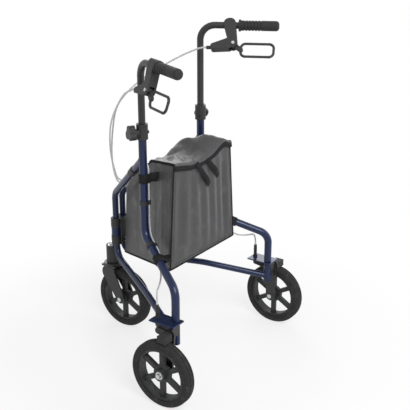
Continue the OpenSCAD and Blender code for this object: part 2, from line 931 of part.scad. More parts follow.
module cable_fittings(side) {
    color("#17181b") {
        on_side(side) {
            on_rail(on_top_rail(joint_clip_reach), rail_slope)
            cable_clip(rail_d, top_side, joint_clip_w);
            translate([0, post_reach, post_clip_z])
            cable_clip(post_d, rear_side, clip_w);
            on_rail(on_rear_rail(rail_clip_reach), rear_slope)
            cable_clip(post_d, rear_side, clip_w);
        }
        on_half(side)
        translate([adjuster_x, adjuster_y, adjuster_z])
        difference() {
            union() {
                translate([0, 0, -brake_plate_t - adjuster_below])
                cylinder(d = adjuster_thread_d, h = brake_plate_t + adjuster_below + adjuster_nut_h);
                cylinder(d = adjuster_nut_d, h = adjuster_nut_h, $fn = 6);
                translate([0, 0, adjuster_nut_h])
                cylinder(d = adjuster_d, h = adjuster_h);
                translate([0, 0, adjuster_nut_h + adjuster_h])
                cylinder(d1 = adjuster_d, d2 = adjuster_tip_d, h = adjuster_tip_h);
            }
            translate([0, 0, adjuster_nut_h + adjuster_h - over])
            cylinder(d = cable_d + 2 * cable_room, h = adjuster_tip_h + 2 * over);
        }
    }
}

module upper_cable(side) {
    color("#c9ccd0")
    swept_cable(upper_route(side));
}

module lower_cable(side) {
    color("#c9ccd0")
    swept_cable(lower_route(side));
}

// Handles

module handle_tube(side) {
    color("#141518")
    on_handle(side)
    upright()
    bent_tube([[0, handle_low_z], [0, grip_z], [grip_end - grip_cap_t, grip_z]], [0, handle_bend_r, 0],
              handle_d, handle_bore);
}

module grip(side) {
    r = grip_d / 2;
    color("#1b1c1e")
    on_handle(side)
    translate([0, grip_end - grip_len, grip_z])
    rotate([-90, 0, 0])
    rotate_extrude()
    difference() {
        union() {
            square([r, grip_len - grip_round]);
            square([r - grip_round, grip_len]);
            translate([r - grip_round, grip_len - grip_round])
            circle(r = grip_round);
            square([grip_flange_d / 2, grip_flange_w]);
        }
        translate([0, -over])
        square([handle_d / 2, grip_len - grip_cap_t + over]);
        translate([-r, -over])
        square([r, grip_len + 2 * over]);
        for (i = [0 : grip_rings - 1])
            translate([r, grip_ring_start + i * grip_ring_pitch])
            circle(d = grip_ring_d);
    }
}

module brake_housing(side) {
    pivot = [pivot_at, grip_z - pivot_drop];
    nose = [nose_at, grip_z - nose_drop];
    slot = lever_boss_r + lever_boss_room;
    color("#17181b")
    on_brake(side)
    difference() {
        union() {
            plate(-housing_w / 2, housing_w) {
                arm([housing_at, grip_z], housing_r, pivot, pivot_r);
                arm([nose_root_at, grip_z - pivot_drop], nose_root_r, nose, nose_r);
            }
            translate([0, barrel_mouth, nose[1]])
            rotate([-90, 0, 0])
            cylinder(d = barrel_d, h = barrel_len);
        }
        translate([0, housing_at - 2 * housing_r, grip_z])
        rotate([-90, 0, 0])
        cylinder(d = handle_d, h = 4 * housing_r);
        translate([0, barrel_mouth - over, nose[1]])
        rotate([-90, 0, 0])
        cylinder(d = cable_d + 2 * cable_room, h = barrel_len + over);
        plate(housing_wall - housing_w / 2, housing_w - 2 * housing_wall)
        translate(pivot - [slot, pivot_drop])
        square([pivot_drop, pivot_drop + slot]);
        across(-housing_w, pivot[0], pivot[1])
        cylinder(d = pin_d, h = 2 * housing_w);
    }
}

module lever_pin(side) {
    color("#b8bcc0")
    on_brake(side)
    translate([0, pivot_at, grip_z - pivot_drop]) {
        across(-housing_w / 2, 0, 0)
        cylinder(d = pin_d, h = housing_w);
        for (x = [-housing_w / 2 - pin_head_h, housing_w / 2])
            across(x, 0, 0)
            cylinder(d = pin_head_d, h = pin_head_h);
    }
}

// The loop lies in the middle plane of the brake
module brake_lever(side) {
    pivot = [pivot_at, grip_z - pivot_drop];
    root = [loop_at, grip_z - loop_drop];
    boss_w = housing_w - 2 * housing_wall - 2 * face_gap;
    far = loop_at + loop_len;
    low = root[1] - loop_w / 2;
    high = root[1] + loop_w / 2;
    color("#141518")
    on_brake(side)
    difference() {
        union() {
            plate(-boss_w / 2, boss_w)
            translate(pivot)
            circle(r = lever_boss_r);
            plate(-lever_neck_w / 2, lever_neck_w)
            arm(pivot, lever_neck_r, root, lever_neck_r - run_gap);
            upright()
            bent_bar([root, [loop_at, high], [far, high], [far, low], [loop_at, low], root],
                     [0, loop_corner_r, loop_corner_r, loop_corner_r, loop_corner_r, 0], loop_bar_d);
        }
        across(-housing_w, pivot[0], pivot[1])
        cylinder(d = pin_d + 2 * run_gap, h = 2 * housing_w);
    }
}

module height_knob(side) {
    start = clamp_boss_reach + face_gap;
    color("#17181b")
    on_side(side)
    across(0, post_reach, knob_z) {
        translate([0, 0, handle_d / 2 + face_gap])
        cylinder(d = screw_d, h = start - handle_d / 2);
        translate([0, 0, start])
        cylinder(d = knob_hub_d, h = knob_hub_h);
        translate([0, 0, start + knob_hub_h])
        linear_extrude(knob_h)
        for (i = [0 : 2])
            rotate([0, 0, 60 + 120 * i])
            arm([0, 0], knob_core_r, [knob_lobe_reach, 0], knob_lobe_r);
    }
}

// Rear brakes

module brake_arm(side) {
    color("#17181b")
    on_half(side) {
        plate(horn_x, horn_t)
        arm([shaft_y, shaft_z], arm_root_r, [shaft_y - horn_len, shaft_z], horn_tip_r);
        across(horn_x + horn_t / 2, shaft_y, shaft_z)
        cylinder(d = shaft_d, h = arm_x - horn_x + (arm_t - horn_t) / 2);
        plate(arm_x, arm_t)
        arm([shaft_y, shaft_z], arm_root_r, [shoe_y, shoe_z], arm_tip_r);
    }
}

module brake_shoe(side) {
    x = arm_x + arm_t;
    color("#232426")
    on_half(side)
    difference() {
        translate([x, shoe_y - shoe_len / 2, wheel_r])
        cube([wheel_x + tyre_w / 2 - x, shoe_len, shoe_z + shoe_top - wheel_r]);
        across(x - over, rear_y, wheel_r)
        cylinder(r = wheel_r + shoe_gap, h = tyre_w * 2);
    }
}

// Bag

// Everything outside one side of the bag
module bag_outside(side, gap) {
    on_half(side)
    translate([bag_half, hinge_y + bag_rear, bag_rear_low_z])
    rotate([0, 0, -bag_splay])
    rotate([0, -bag_lean, 0])
    translate([gap, -half_space, -half_space])
    cube(2 * half_space);
}

module between_sides(inset = 0) {
    difference() {
        translate([0, hinge_y, 0])
        plate(-half_space, 2 * half_space)
        children();
        bag_outside(1, -inset);
        bag_outside(-1, -inset);
    }
}

// Padded cloth all round, open under the lid
module bag() {
    color("#4a4b4e")
    difference() {
        between_sides()
        polygon([[bag_front, bag_front_low_z], [bag_rear, bag_rear_low_z], [bag_rear, bag_rear_top_z],
                 [bag_shoulder, bag_shoulder_z], [bag_front, bag_front_top_z]]);
        between_sides(bag_wall)
        polygon([[bag_front + bag_wall, bag_front_low_z + 2 * bag_wall],
                 [bag_rear - bag_wall, bag_rear_low_z + bag_wall],
                 [bag_rear - bag_wall, bag_rear_top_z + over],
                 [bag_shoulder + bag_wall, bag_shoulder_z + over],
                 [bag_front + bag_wall, bag_front_top_z - bag_wall]]);
    }
}

module bag_lid() {
    edge = bag_rear + lid_t;
    color("#5a5b5e") {
        between_sides()
        polygon([[bag_shoulder, bag_shoulder_z], [bag_shoulder, bag_shoulder_z + lid_t],
                 [edge, bag_rear_top_z + lid_t], [edge, bag_rear_top_z - lid_hang],
                 [bag_rear, bag_rear_top_z - lid_hang], [bag_rear, bag_rear_top_z]]);
        for (p = tab_tops)
            translate([p[0], hinge_y + bag_rear + face_gap, bag_rear_top_z + p[1]])
            rotate([0, tab_slant, 0])
            translate([-tab_w / 2, 0, -tab_len])
            cube([tab_w, tab_t, tab_len]);
    }
}

// Webbing round a tube along Z, open towards the bag
module webbing_loop(tube_d) {
    reach = half_space / 2;
    difference() {
        union() {
            cylinder(d = tube_d + 2 * webbing_t, h = webbing_w, center = true);
            translate([-reach, -tube_d / 2 - webbing_t, -webbing_w / 2])
            cube([reach, tube_d + 2 * webbing_t, webbing_w]);
        }
        cylinder(d = tube_d, h = 2 * webbing_w, center = true);
        translate([-reach - over, -tube_d / 2, -webbing_w])
        cube([reach + over, tube_d, 2 * webbing_w]);
    }
}

module bag_loops(side) {
    color("#232426")
    intersection() {
        on_side(side) {
            translate([0, post_reach, post_loop_z])
            webbing_loop(post_d);
            on_rail(on_rear_rail(rail_loop_reach), rear_slope)
            webbing_loop(post_d);
        }
        bag_outside(side, face_gap);
    }
}

hinge_bracket();
caster_head();
hinge_bolts();
caster_bearings();
bag();
bag_lid();
caster_fork();
caster_stem();
front_axle();
at_front_wheel() tyre();  // front_tyre
at_front_wheel() hub();  // front_hub
at_front_wheel() wheel_bearings();  // front_bearings
front_tube(1);  // front_tube_left
front_tube(-1);  // front_tube_right
top_rail(1);  // top_rail_left
top_rail(-1);  // top_rail_right
bottom_rail(1);  // bottom_rail_left
bottom_rail(-1);  // bottom_rail_right
post(1);  // post_left
post(-1);  // post_right
rear_rail(1);  // rear_rail_left
rear_rail(-1);  // rear_rail_right
brake_bracket(1);  // brake_bracket_left
brake_bracket(-1);  // brake_bracket_right
wheel_fork(1);  // wheel_fork_left
wheel_fork(-1);  // wheel_fork_right
rear_axle(1);  // rear_axle_left
rear_axle(-1);  // rear_axle_right
height_collar(1);  // height_collar_left
height_collar(-1);  // height_collar_right
cable_fittings(1);  // cable_fittings_left
cable_fittings(-1);  // cable_fittings_right
upper_cable(1);  // upper_cable_left
upper_cable(-1);  // upper_cable_right
lower_cable(1);  // lower_cable_left
lower_cable(-1);  // lower_cable_right
bag_loops(1);  // bag_loops_left
bag_loops(-1);  // bag_loops_right
handle_tube(1);  // handle_tube_left
handle_tube(-1);  // handle_tube_right
grip(1);  // grip_left
grip(-1);  // grip_right
brake_housing(1);  // brake_housing_left
brake_housing(-1);  // brake_housing_right
lever_pin(1);  // lever_pin_left
lever_pin(-1);  // lever_pin_right
brake_lever(1);  // brake_lever_left
brake_lever(-1);  // brake_lever_right
height_knob(1);  // height_knob_left
height_knob(-1);  // height_knob_right
brake_arm(1);  // brake_arm_left
brake_arm(-1);  // brake_arm_right
brake_shoe(1);  // brake_shoe_left
brake_shoe(-1);  // brake_shoe_right
at_rear_wheel(1) tyre();  // rear_tyre_left
at_rear_wheel(-1) tyre();  // rear_tyre_right
at_rear_wheel(1) hub();  // rear_hub_left
at_rear_wheel(-1) hub();  // rear_hub_right
at_rear_wheel(1) wheel_bearings();  // rear_bearings_left
at_rear_wheel(-1) wheel_bearings();  // rear_bearings_right
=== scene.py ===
# %% [markdown]
# # A three wheel rollator
# A walking aid stands on three wheels: one that swivels at the front and two at the back of the
# splayed side frames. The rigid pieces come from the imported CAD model. This lesson gives them
# their finishes, and models what cloth and cable do: the bag, its straps and the brake cables.

# %% Load the frame
import json
import math

import bpy
import numpy as np
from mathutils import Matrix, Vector
from mathutils.bvhtree import BVHTree


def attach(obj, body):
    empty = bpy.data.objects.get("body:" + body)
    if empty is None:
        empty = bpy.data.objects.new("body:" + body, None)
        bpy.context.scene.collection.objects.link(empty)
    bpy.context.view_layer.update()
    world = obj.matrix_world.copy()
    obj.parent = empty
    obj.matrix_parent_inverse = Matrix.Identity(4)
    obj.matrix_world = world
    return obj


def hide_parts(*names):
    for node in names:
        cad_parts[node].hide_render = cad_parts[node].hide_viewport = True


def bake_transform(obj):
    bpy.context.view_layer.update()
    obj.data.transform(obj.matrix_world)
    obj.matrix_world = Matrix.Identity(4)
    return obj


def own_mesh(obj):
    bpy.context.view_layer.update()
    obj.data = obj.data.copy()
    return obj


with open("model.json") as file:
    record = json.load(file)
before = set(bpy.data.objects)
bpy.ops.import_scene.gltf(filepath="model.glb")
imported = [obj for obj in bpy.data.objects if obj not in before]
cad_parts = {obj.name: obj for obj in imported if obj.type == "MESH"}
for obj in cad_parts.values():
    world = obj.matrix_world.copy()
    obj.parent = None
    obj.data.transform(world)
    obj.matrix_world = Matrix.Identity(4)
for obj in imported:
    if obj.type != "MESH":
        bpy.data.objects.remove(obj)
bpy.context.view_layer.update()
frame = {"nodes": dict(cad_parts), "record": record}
nodes = frame["nodes"]
MM = 0.001
SIDES = {"left": 1, "right": -1}

# %% [markdown]
# ## Camera
# The photograph was taken from behind the user's left shoulder, a little above the handles. The
# three wheels are the same size, so their places in the picture give the eye's place, its
# direction and the lens, and nothing has to be lined up by eye.

# %% Camera
PICTURE = 410.0
FOCAL = 805.5
EYE = Vector((1.739, 1.3294, 1.239))
YAW, PITCH = math.radians(-145.18), math.radians(-20.05)

lens = bpy.data.cameras.new("camera")
lens.lens = lens.sensor_width * FOCAL / PICTURE
camera = bpy.data.objects.new("camera", lens)
bpy.context.scene.collection.objects.link(camera)
gaze = Vector((math.cos(YAW) * math.cos(PITCH), math.sin(YAW) * math.cos(PITCH), math.sin(PITCH)))
camera.location = EYE
camera.rotation_euler = gaze.to_track_quat("-Z", "Y").to_euler()
bpy.context.scene.camera = camera
print("camera lens %.1f mm" % lens.lens)

# %% [markdown]
# ## Mesh helpers
# Cables, piping, hems and weld beads are all tubes along a line. A curve object with a bevel could
# draw them, but a mesh made here has just the points that are wanted and needs no conversion. The
# first helper turns points and faces into an object with smooth shading.


# %% A piece from points and faces
def make_piece(name, points, faces, smooth=True):
    mesh = bpy.data.meshes.new(name)
    mesh.from_pydata([tuple(p) for p in points], [], faces)
    mesh.validate()
    mesh.polygons.foreach_set("use_smooth", [smooth] * len(mesh.polygons))
    made = bpy.data.objects.new(name, mesh)
    bpy.context.scene.collection.objects.link(made)
    return made


print("piece helper ready")

# %% [markdown]
# A cable is held at a few places and bends smoothly between them. The curve passes through each
# given place. Its direction there leans to the nearer neighbour, so that it doesn't overshoot where
# the places are unevenly spaced.


# %% A smooth line through a few places
def smooth_line(points, pitch):
    """A curve through the points, with samples about pitch apart."""
    p = np.array(points, float)
    step = np.linalg.norm(np.diff(p, axis=0), axis=1)
    speed = np.empty_like(p)
    speed[0] = (p[1] - p[0]) / step[0]
    speed[-1] = (p[-1] - p[-2]) / step[-1]
    for i in range(1, len(p) - 1):
        a, b = step[i - 1], step[i]
        speed[i] = ((p[i + 1] - p[i]) * a / b + (p[i] - p[i - 1]) * b / a) / (a + b)
    line = []
    for i, d in enumerate(step):
        for t in np.arange(0, 1, 1 / math.ceil(d / pitch)):
            line.append((2 * t**3 - 3 * t**2 + 1) * p[i] + (t**3 - 2 * t**2 + t) * d * speed[i]
                        + (3 * t**2 - 2 * t**3) * p[i + 1] + (t**3 - t**2) * d * speed[i + 1])
    return np.array(line + [p[-1]])


def line_length(line):
    return float(np.linalg.norm(np.diff(np.array(line), axis=0), axis=1).sum())


print("line helpers ready")

# %% [markdown]
# A tube needs two directions across its line at every sample. The first one is carried along and
# set square again at each step, which keeps the tube free of twist.


# %% A tube along a line
def frames_along(line, closed=False):
    """Two directions across the line at each sample, carried along without twist."""
    line = np.array(line, float)
    if closed:
        ahead = np.roll(line, -1, axis=0) - np.roll(line, 1, axis=0)
    else:
        ahead = np.gradient(line, axis=0)
    ahead /= np.linalg.norm(ahead, axis=1)[:, None]
    first = np.cross(ahead[0], (0.0, 0.0, 1.0))
    if np.linalg.norm(first) < 0.1:
        first = np.cross(ahead[0], (1.0, 0.0, 0.0))
    across = [first / np.linalg.norm(first)]
    for t in ahead[1:]:
        u = across[-1] - t * (across[-1] @ t)
        across.append(u / np.linalg.norm(u))
    across = np.array(across)
    return across, np.cross(ahead, across)


def make_tube(name, line, radius, sides=12, closed=False):
    line = np.array(line, float)
    u, v = frames_along(line, closed)
    radii = np.broadcast_to(np.asarray(radius, float), (len(line),))
    points = []
    for i, p in enumerate(line):
        for k in range(sides):
            a = 2 * math.pi * k / sides
            points.append(p + radii[i] * (math.cos(a) * u[i] + math.sin(a) * v[i]))
    faces = []
    runs = len(line) if closed else len(line) - 1
    for i in range(runs):
        for k in range(sides):
            a, b = i * sides + k, i * sides + (k + 1) % sides
            ahead = (i + 1) % len(line) * sides
            c, d = ahead + (k + 1) % sides, ahead + k
            faces.append((a, d, c, b))
    if not closed:
        faces.append(tuple(range(sides)))
        faces.append(tuple(reversed(range((len(line) - 1) * sides, len(line) * sides))))
    return make_piece(name, points, faces)


print("tube helper ready")

# %% [markdown]
# ## Places on the side frames
# The CAD source gives a place on a side frame as a distance outward from the frame's plane, a
# distance back from its fold axis and a height, all in millimetres. The same numbers are used here,
# so that a cable or strap lies where its solid does. The fold axis itself comes from the record.

# %% Places on the side frames
SPLAY, HANDLE_ANGLE = math.radians(29.5), math.radians(26.5)
POST_REACH, LEG_REACH = 240, 447
RAIL_D, POST_D = 19, 22.2
COLUMN_TOP_Z, RAIL_POST_Z = 443, 615
REAR_RAIL_Z, LEG_TOP_Z = 393, 315
CABLE_STANDOFF = 3.5
JOINTS = frame["record"]["behaviour"]["joints"]
FOLD_AXIS = next(joint["pos_m"] for joint in JOINTS if joint["name"] == "left_fold")
HALF_GAP, HINGE_Y = FOLD_AXIS[0] / MM, FOLD_AXIS[1] / MM
RAIL_SLOPE = (RAIL_POST_Z - COLUMN_TOP_Z) / POST_REACH
REAR_SLOPE = (LEG_TOP_Z - REAR_RAIL_Z) / (LEG_REACH - POST_REACH)


def side_place(out, back, up):
    """A place on the left side frame."""
    return np.array((HALF_GAP + back * math.sin(SPLAY) + out * math.cos(SPLAY),
                     HINGE_Y + back * math.cos(SPLAY) - out * math.sin(SPLAY), up))


def handle_place(out, back, up):
    """A place on the left handle, back from the post."""
    across = back * math.sin(HANDLE_ANGLE) + out * math.cos(HANDLE_ANGLE)
    along = back * math.cos(HANDLE_ANGLE) - out * math.sin(HANDLE_ANGLE)
    return side_place(0, POST_REACH, up) + (across, along, 0)


def on_top_rail(reach, gap=0.0):
    return side_place(-RAIL_D / 2 - CABLE_STANDOFF - gap, reach, COLUMN_TOP_Z + reach * RAIL_SLOPE)


def on_rear_rail(reach):
    height = REAR_RAIL_Z + (reach - POST_REACH) * REAR_SLOPE
    return side_place(-POST_D / 2 - CABLE_STANDOFF, reach, height)


print("fold axis %.1f mm out, %.1f mm back" % (HALF_GAP, HINGE_Y))

# %% [markdown]
# ## Brake cables
# A thin grey cable leaves each brake handle, hangs forward in a wide arc and comes back to a clip
# on the top rail. Below the clip it runs down the post and along the rear rail to the brake. The
# free arc stays where it is made and is tied to no body. The clipped run is fixed to the side frame.

# %% Brake cables
CABLE_D, CABLE_PITCH = 0.005, 0.006
GRIP_Z, BRAKE_LEAN = {"left": 878, "right": 940}, {"left": 20, "right": -40}
NOSE_DROP, FRONT_AXLE_BACK = 72, 12
BARREL_AT, TOP_CLIP_IN, TOP_CLIP_OUT = (34, 19), (145, 159), (161, 175)
FRONT_AXLE_Y = HINGE_Y + FRONT_AXLE_BACK
ARCS = {
    "left": [(150, 174, 800), (130, 138, 784), (107, 100, 756), (82, 64, 724), (56, 32, 690),
             (34, 6, 650), (18, -14, 604), (9, -24, 552), (7, -21, 512), (8.5, -7, 482), (12, 8, 477)],
    "right": [(-98, 190, 870), (-95, 140, 846), (-84, 92, 818), (-62, 46, 784), (-38, 10, 748),
              (-18, -18, 705), (-8, -36, 655), (-6, -43, 588), (-7, -34, 520), (-9, -16, 480),
              (-13, 6, 475)],
}
RAIL_RUN = [(45, 2.5), (90, 1.5), (122, 0.6)]
POST_RUN = [(-15, 207, 588), (-15.5, 226, 597), (-15.5, 239, 584), (-14.8, 240, 566), (-14.6, 240, 502),
            (-14.6, 240, 478), (-14.6, 240, 430), (-14.6, 247, 398)]
REAR_CLIP = (276, 288)
BRAKE_DROP = [(-15, 302, 366), (-11, 320, 338), (0, 350, 312), (18, 380, 303), (33, 402, 299)]
ADJUSTER_TOP_Z, ADJUSTER_FROM_LEG, ADJUSTER_TIP = 265, (12, -52, 0), 8
ADJUSTER = side_place(0, LEG_REACH, ADJUSTER_TOP_Z) + ADJUSTER_FROM_LEG


def upper_route(side):
    lean, mirror = math.radians(BRAKE_LEAN[side]), (SIDES[side], 1, 1)
    out, up = NOSE_DROP * math.sin(lean), GRIP_Z[side] - NOSE_DROP * math.cos(lean)
    route = [handle_place(out, back, up) * mirror for back in BARREL_AT]
    route += [np.array(p) + (0, FRONT_AXLE_Y, 0) for p in ARCS[side]]
    route += [on_top_rail(*p) * mirror for p in RAIL_RUN]
    route += [on_top_rail(p) * mirror for p in TOP_CLIP_IN]
    return np.array(route) * MM


def lower_route(side):
    route = [on_top_rail(p) for p in TOP_CLIP_OUT] + [side_place(*p) for p in POST_RUN]
    route += [on_rear_rail(p) for p in REAR_CLIP] + [side_place(*p) for p in BRAKE_DROP]
    route += [ADJUSTER + (0, 0, rise) for rise in (ADJUSTER_TIP, -ADJUSTER_TIP)]
    return np.array(route) * (SIDES[side], 1, 1) * MM


cables = []
for side in SIDES:
    upper_line = smooth_line(upper_route(side), CABLE_PITCH)
    upper = make_tube("brake_cable_upper_" + side, upper_line, CABLE_D / 2)
    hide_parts("upper_cable_" + side)
    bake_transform(upper)
    lower_line = smooth_line(lower_route(side), CABLE_PITCH)
    lower = make_tube("brake_cable_lower_" + side, lower_line, CABLE_D / 2)
    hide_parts("lower_cable_" + side)
    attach(lower, side + "_frame")
    cables += [upper, lower]
    lengths = line_length(upper_line), line_length(lower_line)
    print(side, "cable: %.3f m free, %.3f m clipped" % lengths)

# %% [markdown]
# ## Writing shaders as sums
# A finish is easier to read as a sum than as a drawing of boxes. The class below wraps one output
# of a node. Its operators add the Math nodes, and its one method makes every other kind of node.


# %% Sockets that take part in sums
class Wire:
    """A node's output, to be used in Python expressions."""

    def __init__(self, tree, socket):
        self.tree = tree
        self.socket = socket

    def node(self, kind, settings=None, inputs=None, output=0):
        made = self.tree.nodes.new(kind)
        for name, value in (settings or {}).items():
            setattr(made, name, value)
        for key, value in (inputs or {}).items():
            if isinstance(value, Wire):
                self.tree.links.new(value.socket, made.inputs[key])
            else:
                made.inputs[key].default_value = value
        return Wire(self.tree, made.outputs[output])

    def maths(self, operation, a, b=0.0):
        return self.node("ShaderNodeMath", {"operation": operation}, {0: a, 1: b})

    def __add__(self, other):
        return self.maths("ADD", self, other)

    def __rsub__(self, other):
        return self.maths("SUBTRACT", other, self)

    def __mul__(self, other):
        return self.maths("MULTIPLY", self, other)

    __radd__ = __add__
    __rmul__ = __mul__


print("sums of sockets ready")

# %% [markdown]
# A Math node would turn a colour grey, so colours are mixed instead. Noise, ramps and bumps are in
# nearly every finish, and each of them gets a short name here.


# %% Colours, noise and relief
def between(mask, low, high):
    """A colour between two others, by a mask from 0 to 1."""
    return mask.node("ShaderNodeMix", {"data_type": "RGBA"},
                     {0: mask, 6: low if isinstance(low, Wire) else (*low, 1.0),
                      7: high if isinstance(high, Wire) else (*high, 1.0)}, output=2)


def grain(place, scale, detail=2.0, rough=0.5):
    return place.node("ShaderNodeTexNoise", None,
                      {"Vector": place, "Scale": scale, "Detail": detail, "Roughness": rough})


def stretch(place, x, y, z):
    return place.node("ShaderNodeVectorMath", {"operation": "MULTIPLY"}, {0: place, 1: (x, y, z)})


def ramp(value, low, high):
    """Maps low..high to 0..1, with soft ends."""
    return value.node("ShaderNodeMapRange", {"interpolation_type": "SMOOTHSTEP"},
                      {"Value": value, "From Min": low, "From Max": high})


def relief(height, depth, normal=None):
    inputs = {"Height": height, "Distance": depth, "Strength": 1.0}
    if normal is not None:
        inputs["Normal"] = normal
    return height.node("ShaderNodeBump", None, inputs)


print("colour, noise and relief ready")

# %% [markdown]
# Paint and plastic wear first on their sharp edges. Where the plain normal and a rounded one differ,
# there is an edge, so no mask has to be painted. The rounded normal also gives each hard edge of the
# CAD model the small highlight that a real one has.


# %% Edges
def soft_edges(place, radius):
    return place.node("ShaderNodeBevel", {"samples": 4}, {"Radius": radius})


def edge_mask(place, radius):
    """1 on sharp outer edges, 0 on flat faces."""
    plain = place.node("ShaderNodeNewGeometry", output="Normal")
    rounded = soft_edges(place, radius)
    turn = place.node("ShaderNodeVectorMath", {"operation": "DOT_PRODUCT"}, {0: plain, 1: rounded},
                      output="Value")
    return ramp(1.0 - turn, 0.004, 0.12)


print("edge helpers ready")

# %% [markdown]
# A finish is written as a recipe: a function that takes a place on the surface and returns the
# shader's inputs by name. A plain number is set on its socket, and a sum is linked to it.


# %% A finish from its recipe
def make_finish(name, recipe):
    material = bpy.data.materials.new(name)
    material.use_nodes = True
    tree = material.node_tree
    tree.nodes.clear()
    sheet = tree.nodes.new("ShaderNodeOutputMaterial")
    shader = tree.nodes.new("ShaderNodeBsdfPrincipled")
    tree.links.new(shader.outputs[0], sheet.inputs["Surface"])
    place = Wire(tree, tree.nodes.new("ShaderNodeTexCoord").outputs["Object"])
    for socket, value in recipe(place).items():
        if isinstance(value, Wire):
            tree.links.new(value.socket, shader.inputs[socket])
        else:
            shader.inputs[socket].default_value = value
    return material


print("finish helper ready")

# %% [markdown]
# ## Paints
# The frame tubes are gloss navy blue over fine metal flake, and the handles and forks are satin
# black. A picture could be wrapped on the tubes, but noise needs no seams. It varies the colour, the
# roughness and the relief at the size that the real paint does, and bares a few worn edges.


# %% Blue and black paint
def blue_paint(place):
    cloud = grain(place, 14, 3)
    flake = grain(place, 1500, 1)
    worn = edge_mask(place, 0.0012) * ramp(grain(place, 60, 4), 0.45, 0.7)
    body = between(cloud, (0.007, 0.014, 0.048), (0.011, 0.022, 0.070))
    flaked = between(ramp(flake, 0.55, 0.8), body, (0.024, 0.042, 0.130))
    return {"Base Color": between(worn * 0.6, flaked, (0.20, 0.22, 0.27)), "Metallic": 0.2,
            "Roughness": 0.28 + 0.12 * cloud, "Coat Weight": 0.3, "Coat Roughness": 0.08,
            "Specular IOR Level": 0.22,
            "Normal": relief(grain(place, 420, 1), 0.00004, soft_edges(place, 0.0008))}


def black_paint(place):
    cloud = grain(place, 20, 3)
    worn = edge_mask(place, 0.001) * ramp(grain(place, 70, 4), 0.45, 0.7)
    body = between(cloud, (0.010, 0.010, 0.011), (0.020, 0.020, 0.022))
    return {"Base Color": between(worn * 0.5, body, (0.16, 0.16, 0.17)),
            "Roughness": 0.36 + 0.16 * cloud, "Specular IOR Level": 0.4,
            "Coat Weight": 0.2, "Coat Roughness": 0.2,
            "Normal": relief(grain(place, 500, 1), 0.00004, soft_edges(place, 0.0008))}


print("paints ready")

# %% [markdown]
# ## Plastics
# Housings, knobs and hubs are moulded black plastic. The mould leaves a fine grain, too small for
# geometry, so it is a bump. The hubs are close to the ground and carry a little dust.


# %% Plastic of the housings and hubs
def moulded_plastic(place):
    cloud = grain(place, 25, 4)
    pores = grain(place, 1400, 2)
    worn = edge_mask(place, 0.001) * ramp(grain(place, 80, 4), 0.4, 0.7)
    body = between(cloud, (0.012, 0.012, 0.013), (0.024, 0.024, 0.026))
    return {"Base Color": between(worn * 0.5, body, (0.11, 0.11, 0.115)),
            "Roughness": 0.42 + 0.2 * cloud, "Specular IOR Level": 0.45,
            "Normal": relief(pores, 0.00012, soft_edges(place, 0.0008))}


def hub_plastic(place):
    cloud = grain(place, 22, 4)
    pores = grain(place, 1200, 2)
    dust = ramp(grain(place, 45, 5, 0.65), 0.48, 0.75)
    body = between(cloud, (0.016, 0.017, 0.018), (0.030, 0.031, 0.033))
    return {"Base Color": between(dust * 0.5, body, (0.10, 0.098, 0.094)),
            "Roughness": 0.46 + 0.2 * cloud, "Specular IOR Level": 0.35,
            "Normal": relief(pores, 0.00012, soft_edges(place, 0.001))}


print("plastics ready")

# %% [markdown]
# ## Rubbers
# The grips are dull black rubber, and their ridges are part of the CAD model. The tyres are solid
# dark grey rubber that has picked up dust. Rubber scatters light, so both are rough all over.


# %% Rubber of the grips and tyres
def grip_rubber(place):
    cloud = grain(place, 30, 4)
    pores = grain(place, 900, 3)
    return {"Base Color": between(cloud, (0.012, 0.012, 0.0125), (0.026, 0.026, 0.027)),
            "Roughness": 0.62 + 0.2 * cloud, "Specular IOR Level": 0.35, "Sheen Weight": 0.05,
            "Normal": relief(pores, 0.0002, soft_edges(place, 0.0008))}


def tyre_rubber(place):
    cloud = grain(place, 18, 4)
    pores = grain(place, 800, 3)
    dust = ramp(grain(place, 60, 6, 0.7), 0.5, 0.8)
    body = between(cloud, (0.020, 0.020, 0.021), (0.034, 0.034, 0.035))
    return {"Base Color": between(dust * 0.55, body, (0.13, 0.125, 0.118)),
            "Roughness": 0.66 + 0.22 * cloud, "Specular IOR Level": 0.2,
            "Normal": relief(pores, 0.00025, soft_edges(place, 0.0008))}


print("rubbers ready")

# %% [markdown]
# ## Steel and cable sheath
# Nuts, screws and pins are plated steel, with the faint streaks of a turned part: noise that is
# squeezed along one axis. The brake cables have a smooth, pale grey plastic sheath.


# %% Plated steel and cable sheath
def plated_steel(place):
    streaks = grain(stretch(place, 900, 60, 60), 1, 2)
    cloud = grain(place, 50, 3)
    return {"Base Color": between(cloud, (0.45, 0.46, 0.47), (0.66, 0.67, 0.68)), "Metallic": 1.0,
            "Roughness": 0.24 + 0.22 * streaks,
            "Normal": relief(streaks, 0.00003, soft_edges(place, 0.0006))}


def cable_sheath(place):
    cloud = grain(place, 40, 3)
    return {"Base Color": between(cloud, (0.50, 0.505, 0.51), (0.64, 0.645, 0.65)),
            "Roughness": 0.32 + 0.15 * cloud, "Coat Weight": 0.15,
            "Normal": relief(grain(place, 1000, 1), 0.00005)}


print("steel and sheath ready")

# %% [markdown]
# ## Dressing the rigid pieces
# The record names a material slot for each CAD node, so a node takes the finish of its slot and no
# list of nodes has to be kept here. The cables were made above and get theirs now.

# %% Finishes on the rigid pieces
RIGID = {"blue_paint": blue_paint, "black_paint": black_paint, "black_fork": black_paint,
         "black_plastic": moulded_plastic, "hub_plastic": hub_plastic, "grip_rubber": grip_rubber,
         "tyre_rubber": tyre_rubber, "bright_steel": plated_steel, "cable_sheath": cable_sheath}
finishes = {slot: make_finish(slot, recipe) for slot, recipe in RIGID.items()}


def dress(piece, slot, material=None):
    """Gives a piece one finish: the one made for the named slot, unless another material is given."""
    piece.data.materials.clear()
    piece.data.materials.append(material or finishes[slot])
    return piece


